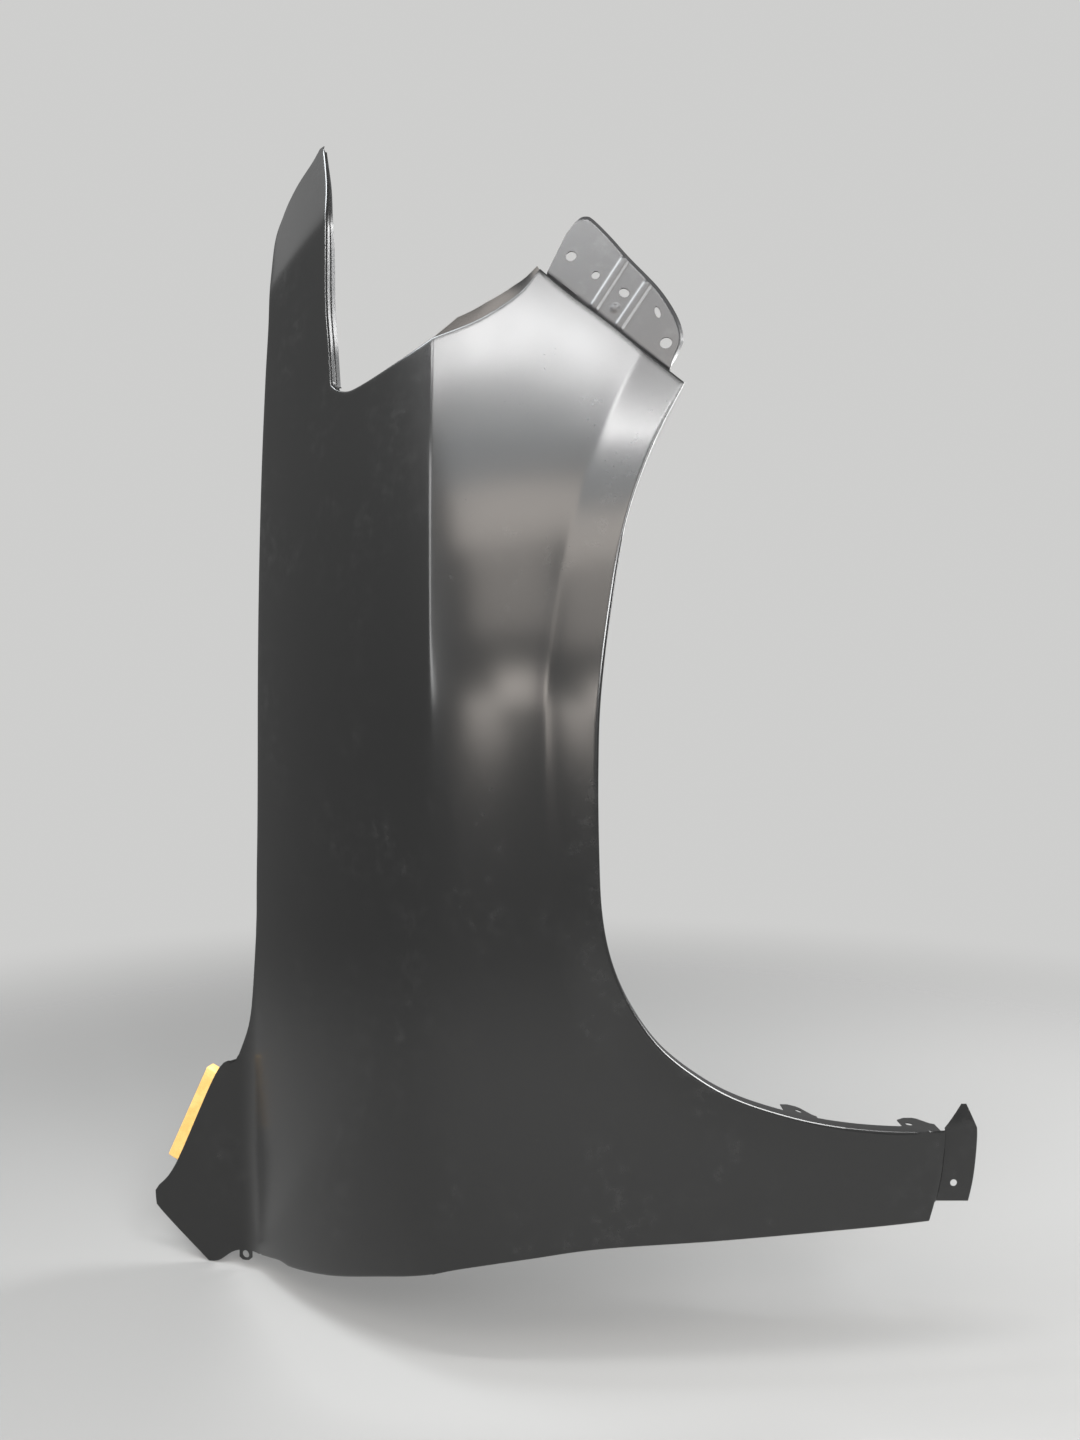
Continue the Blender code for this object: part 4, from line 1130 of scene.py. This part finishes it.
film_group, film_in, film_out = new_group(
    "film_texture",
    [("Vector", "NodeSocketVector", None), ("Peel", "NodeSocketFloat", 1.0),
     ("Wave", "NodeSocketFloat", 1.0)],
    [("Height", "NodeSocketFloat")])
peel = noise(film_group, film_in.outputs["Vector"], PEEL_SCALE, 2.0)
wave = noise(film_group, film_in.outputs["Vector"], WAVE_SCALE, 1.0)
peel_part = math_node(film_group, "MULTIPLY", peel.outputs["Fac"], film_in.outputs["Peel"])
wave_part = math_node(film_group, "MULTIPLY", wave.outputs["Fac"], film_in.outputs["Wave"])
film_height = math_node(film_group, "ADD", peel_part, wave_part)
film_group.links.new(film_height, film_out.inputs["Height"])

marks_group, marks_in, marks_out = new_group(
    "handling_marks",
    [("Vector", "NodeSocketVector", None)],
    [("Smudge", "NodeSocketFloat"), ("Dust", "NodeSocketFloat"), ("Speck", "NodeSocketFloat")])
places = marks_in.outputs["Vector"]
smudge = noise(marks_group, places, SMUDGE_SCALE, 4.0, 0.62, SMUDGE_STRETCH)
dust = noise(marks_group, places, DUST_SCALE, 5.0, 0.7)
speck = noise(marks_group, places, SPECK_SCALE, 1.0)
masks = {
    "Smudge": (smudge, SMUDGE_RANGE), "Dust": (dust, DUST_RANGE), "Speck": (speck, SPECK_RANGE)}
for mask, (texture, limits) in masks.items():
    mask_value = ramp(marks_group, texture.outputs["Fac"], *limits)
    marks_group.links.new(mask_value, marks_out.inputs[mask])
print("groups:", film_group.name, marks_group.name)

# %% [markdown]
# The primer is a dipped, satin black film. Black leaves nearly all of its look to reflection, so
# the roughness matters most: smooth enough to hold the shape of a lamp, rough enough to blur it.
# The bracket wears the same film over thicker, coarser steel, so it is a little rougher.

# %% Primer materials
SMUDGE_ROUGHENS, FILM_RELIEF = 0.012, 0.001


def film_material(name, colour, roughness, peel, wave, dusty):
    """Black film: its relief comes from one shared group, its marks from the other."""
    material = bpy.data.materials.new(name)
    material.use_nodes = True
    tree = material.node_tree
    shader = tree.nodes["Principled BSDF"]
    coords = tree.nodes.new("ShaderNodeTexCoord").outputs["Object"]
    film = tree.nodes.new("ShaderNodeGroup")
    film.node_tree = film_group
    film.inputs["Peel"].default_value = peel
    film.inputs["Wave"].default_value = wave
    marks = tree.nodes.new("ShaderNodeGroup")
    marks.node_tree = marks_group
    tree.links.new(coords, film.inputs["Vector"])
    tree.links.new(coords, marks.inputs["Vector"])

    mix = tree.nodes.new("ShaderNodeMix")
    mix.data_type = "RGBA"
    mix.inputs["A"].default_value = (*colour, 1)
    mix.inputs["B"].default_value = (*[c + dusty for c in colour], 1)
    cover = math_node(tree, "MULTIPLY", marks.outputs["Smudge"], marks.outputs["Dust"])
    cover = math_node(tree, "MAXIMUM", cover, marks.outputs["Speck"])
    tree.links.new(cover, mix.inputs["Factor"])
    tree.links.new(mix.outputs["Result"], shader.inputs["Base Color"])
    rough = math_node(tree, "MULTIPLY_ADD", marks.outputs["Smudge"], SMUDGE_ROUGHENS)
    rough.node.inputs[2].default_value = roughness
    tree.links.new(rough, shader.inputs["Roughness"])
    bump = tree.nodes.new("ShaderNodeBump")
    bump.inputs["Strength"].default_value = 1.0
    bump.inputs["Distance"].default_value = FILM_RELIEF
    tree.links.new(film.outputs["Height"], bump.inputs["Height"])
    tree.links.new(bump.outputs["Normal"], shader.inputs["Normal"])
    return material


primer = film_material(
    "primer_black", colour=(0.011, 0.0112, 0.0112), roughness=0.19, peel=0.0018, wave=0.30,
    dusty=0.010)
panel.data.materials.append(primer)
bracket_film = film_material(
    "bracket_black", colour=(0.020, 0.020, 0.021), roughness=0.30, peel=0.02, wave=0.0, dusty=0.03)
bracket.data.materials.append(bracket_film)
print("primer on", panel.name, "and", bracket.name)

# %% [markdown]
# Open-cell foam is matt, softly uneven in colour, and full of tiny pores. The pores are a Voronoi
# pattern at a millimetre or so. They dent the surface, and they also paint shade into the colour:
# the dents are darkened to stand for the shadow inside the open cells. A slow noise shifts the
# colour between two tones, and nearly full roughness takes away any shine.

# %% Foam material
FOAM_LIGHT, FOAM_DEEP = (0.88, 0.57, 0.20, 1), (0.80, 0.47, 0.14, 1)
# The pore colour and its share are painted shade: they darken the foam in the pore dents.
PORE_PAINTED_SHADE, PORE_PAINTED_SHARE = (0.72, 0.62, 0.5, 1), 0.5
PORE_SCALE, PORE_RANGE = 900, (0.15, 0.6)
CLOUD_SCALE, CLOUD_RANGE = 70, (0.35, 0.7)
FOAM_ROUGHNESS, PORE_STRENGTH, PORE_RELIEF = 0.92, 0.6, 0.0006

foam_orange = bpy.data.materials.new("foam_orange")
foam_orange.use_nodes = True
tree = foam_orange.node_tree
shader = tree.nodes["Principled BSDF"]
coords = tree.nodes.new("ShaderNodeTexCoord").outputs["Object"]
pores = tree.nodes.new("ShaderNodeTexVoronoi")
pores.inputs["Scale"].default_value = PORE_SCALE
tree.links.new(coords, pores.inputs["Vector"])
pore_depth = ramp(tree, pores.outputs["Distance"], *PORE_RANGE)
cloud = noise(tree, coords, CLOUD_SCALE, 3.0)
mix = tree.nodes.new("ShaderNodeMix")
mix.data_type = "RGBA"
mix.inputs["A"].default_value = FOAM_LIGHT
mix.inputs["B"].default_value = FOAM_DEEP
tree.links.new(ramp(tree, cloud.outputs["Fac"], *CLOUD_RANGE), mix.inputs["Factor"])
# Painted shade: the foam's colour is multiplied darker in the pore dents, for the shadow inside
# the open cells.
pore_painted_shade = tree.nodes.new("ShaderNodeMix")
pore_painted_shade.data_type = "RGBA"
pore_painted_shade.blend_type = "MULTIPLY"
pore_painted_shade.inputs["B"].default_value = PORE_PAINTED_SHADE
in_pore = math_node(tree, "SUBTRACT", 1.0, pore_depth)
tree.links.new(math_node(tree, "MULTIPLY", in_pore, PORE_PAINTED_SHARE), pore_painted_shade.inputs["Factor"])
tree.links.new(mix.outputs["Result"], pore_painted_shade.inputs["A"])
tree.links.new(pore_painted_shade.outputs["Result"], shader.inputs["Base Color"])
shader.inputs["Roughness"].default_value = FOAM_ROUGHNESS
bump = tree.nodes.new("ShaderNodeBump")
bump.inputs["Strength"].default_value = PORE_STRENGTH
bump.inputs["Distance"].default_value = PORE_RELIEF
tree.links.new(pore_depth, bump.inputs["Height"])
tree.links.new(bump.outputs["Normal"], shader.inputs["Normal"])
pad.data.materials.append(foam_orange)
print("foam on", pad.name)

# %% [markdown]
# The stage is only a pale floor, which takes the shadow where the fender stands on its door edge,
# as in the photograph. It fades into the backdrop with distance and vanishes for a camera behind
# it, so that the part can be seen from every side.

# %% Floor
FLOOR_GREY, FLOOR_ROUGHNESS = (0.29, 0.29, 0.287), 0.95
FLOOR_SIZE, FLOOR_GAP = 6, 0.001
FLOOR_PLACE = Vector((cad_box[0][0] - FLOOR_GAP, 0.1, -0.3))
FLOOR_FADE_FROM, FLOOR_FADE_TO = 0.9, 2.4


def fading_floor():
    """Matt and pale near the part, clear far away and from behind."""
    material = bpy.data.materials.new("floor_pale")
    material.use_nodes = True
    tree = material.node_tree
    shader = tree.nodes["Principled BSDF"]
    shader.inputs["Base Color"].default_value = (*FLOOR_GREY, 1)
    shader.inputs["Roughness"].default_value = FLOOR_ROUGHNESS
    shader.inputs["Specular IOR Level"].default_value = 0.0
    length = tree.nodes.new("ShaderNodeVectorMath")
    length.operation = "LENGTH"
    middle = tree.nodes.new("ShaderNodeVectorMath")
    middle.operation = "SUBTRACT"
    middle.inputs[1].default_value = FLOOR_PLACE
    tree.links.new(tree.nodes.new("ShaderNodeTexCoord").outputs["Object"], middle.inputs[0])
    tree.links.new(middle.outputs["Vector"], length.inputs[0])
    fade = ramp(tree, length.outputs["Value"], FLOOR_FADE_FROM, FLOOR_FADE_TO)
    back = tree.nodes.new("ShaderNodeNewGeometry").outputs["Backfacing"]
    clear = tree.nodes.new("ShaderNodeBsdfTransparent")
    mix = tree.nodes.new("ShaderNodeMixShader")
    tree.links.new(math_node(tree, "MAXIMUM", fade, back), mix.inputs["Fac"])
    tree.links.new(shader.outputs["BSDF"], mix.inputs[1])
    tree.links.new(clear.outputs["BSDF"], mix.inputs[2])
    tree.links.new(mix.outputs["Shader"], tree.nodes["Material Output"].inputs["Surface"])
    return material


bm = bmesh.new()
turned = picture_up.to_track_quat("Z", "Y").to_matrix().to_4x4()
bmesh.ops.create_grid(bm, x_segments=1, y_segments=1, size=FLOOR_SIZE / 2,
                      matrix=Matrix.Translation(FLOOR_PLACE) @ turned)
floor = new_piece(bm, "floor", None)
floor.data.materials.append(fading_floor())
print("floor at x =", round(FLOOR_PLACE.x, 4))

# %% [markdown]
# Black primer shows its lamps as reflections, so a lamp is placed by the direction in which the
# fender's side mirrors it: how steeply towards the car's front, and how far up towards its roof.
# Its brightness is set as a glow per area, so that a wider lamp doesn't look dimmer.

# %% Placing a lamp by its reflection
MIRROR_SPOT = Vector((0.30, -0.20, -0.32))
LAMP_DISTANCE = 2.2
WATTS_FOR_GLOW = 4


def mirrored_lamp(name, steep, across, glow, colour, tilt=0):
    """A lamp that fills these two angle ranges, in degrees, as seen from the fender's side."""
    a, b = [math.radians(sum(span) / 2) for span in (steep, across)]
    way = Vector((math.cos(b) * math.sin(a), -math.cos(b) * math.cos(a), math.sin(b)))
    side = Vector((0, 0, 1)) - way * way.z
    tall, wide = [2 * LAMP_DISTANCE * math.tan(math.radians(span[1] - span[0]) / 2)
                  for span in (steep, across)]
    data = bpy.data.lights.new(name, "AREA")
    data.shape = "RECTANGLE"
    data.size, data.size_y = wide, tall
    data.energy = WATTS_FOR_GLOW * glow * wide * tall
    data.color = colour
    side.normalize()
    lamp = bpy.data.objects.new(name, data)
    bpy.context.scene.collection.objects.link(lamp)
    facing = Matrix((side, way.cross(side), way)).transposed()
    facing = facing @ Matrix.Rotation(math.radians(tilt), 3, "Z")
    lamp.matrix_world = Matrix.Translation(MIRROR_SPOT + way * LAMP_DISTANCE) @ facing.to_4x4()


print("lamps stand", LAMP_DISTANCE, "m from the fender's front half")

# %% [markdown]
# In the photograph a ceiling light beyond the camera is mirrored in the front half of the side,
# while the bonnet side mirrors a darker room. Below the ceiling light wide, weak lamps stand for
# the lit wall, and small ones for a lamp by the camera. The windows are mirrored only in narrow
# bends: the arch lip, the crest of the wing and the beads.

# %% Lights
PLAIN, WARM, COOL = (1, 1, 1), (1, 0.92, 0.85), (0.93, 0.97, 1)

mirrored_lamp("ceiling light", (54.1, 57.5), (-14, 32), 25, PLAIN, -8)
mirrored_lamp("its bright middle", (54.6, 57.4), (-6, 22), 9, PLAIN, -8)
mirrored_lamp("ceiling above it", (57.5, 66), (-14, 32), 4.5, PLAIN, -8)
mirrored_lamp("wall below it", (40, 52), (-8, 29), 2.7, COOL)
mirrored_lamp("lit wall", (27, 39), (-6, 28), 5.8, WARM)
mirrored_lamp("low lit wall", (9, 26), (6, 25), 2.8, WARM)
mirrored_lamp("lamp by the camera", (-5, 1.5), (10, 19), 9, WARM)
mirrored_lamp("its other tube", (-10, -4), (18, 26), 7, WARM)
mirrored_lamp("side window", (24, 56), (-34, -24), 15, PLAIN)
mirrored_lamp("small window", (1, 21), (-24, -7), 25, PLAIN)
mirrored_lamp("upper window", (2, 45), (38, 47), 7, PLAIN)
mirrored_lamp("roof window", (78, 100), (20, 40), 15, COOL)
mirrored_lamp("roof light", (104, 128), (26, 50), 0.45, PLAIN)
mirrored_lamp("light behind", (132, 168), (-68, -44), 12, PLAIN)

# %% [markdown]
# The rest of the room is one even grey for reflections and shadows. The camera sees a paler grey
# behind the part, which lights nothing: a light path node tells the two apart.

# %% Room and backdrop
ROOM_GREY, BACKDROP_GREY = (0.28, 0.28, 0.278), (0.62, 0.62, 0.613)

world = bpy.data.worlds.new("pale_room")
world.use_nodes = True
tree = world.node_tree
backdrop = tree.nodes.new("ShaderNodeMix")
backdrop.data_type = "RGBA"
backdrop.inputs["A"].default_value = (*ROOM_GREY, 1)
backdrop.inputs["B"].default_value = (*BACKDROP_GREY, 1)
light_path = tree.nodes.new("ShaderNodeLightPath")
tree.links.new(light_path.outputs["Is Camera Ray"], backdrop.inputs["Factor"])
tree.links.new(backdrop.outputs["Result"], tree.nodes["Background"].inputs["Color"])
bpy.context.scene.world = world
bpy.context.scene.view_settings.view_transform = "Standard"
print("backdrop and room:", BACKDROP_GREY, ROOM_GREY)
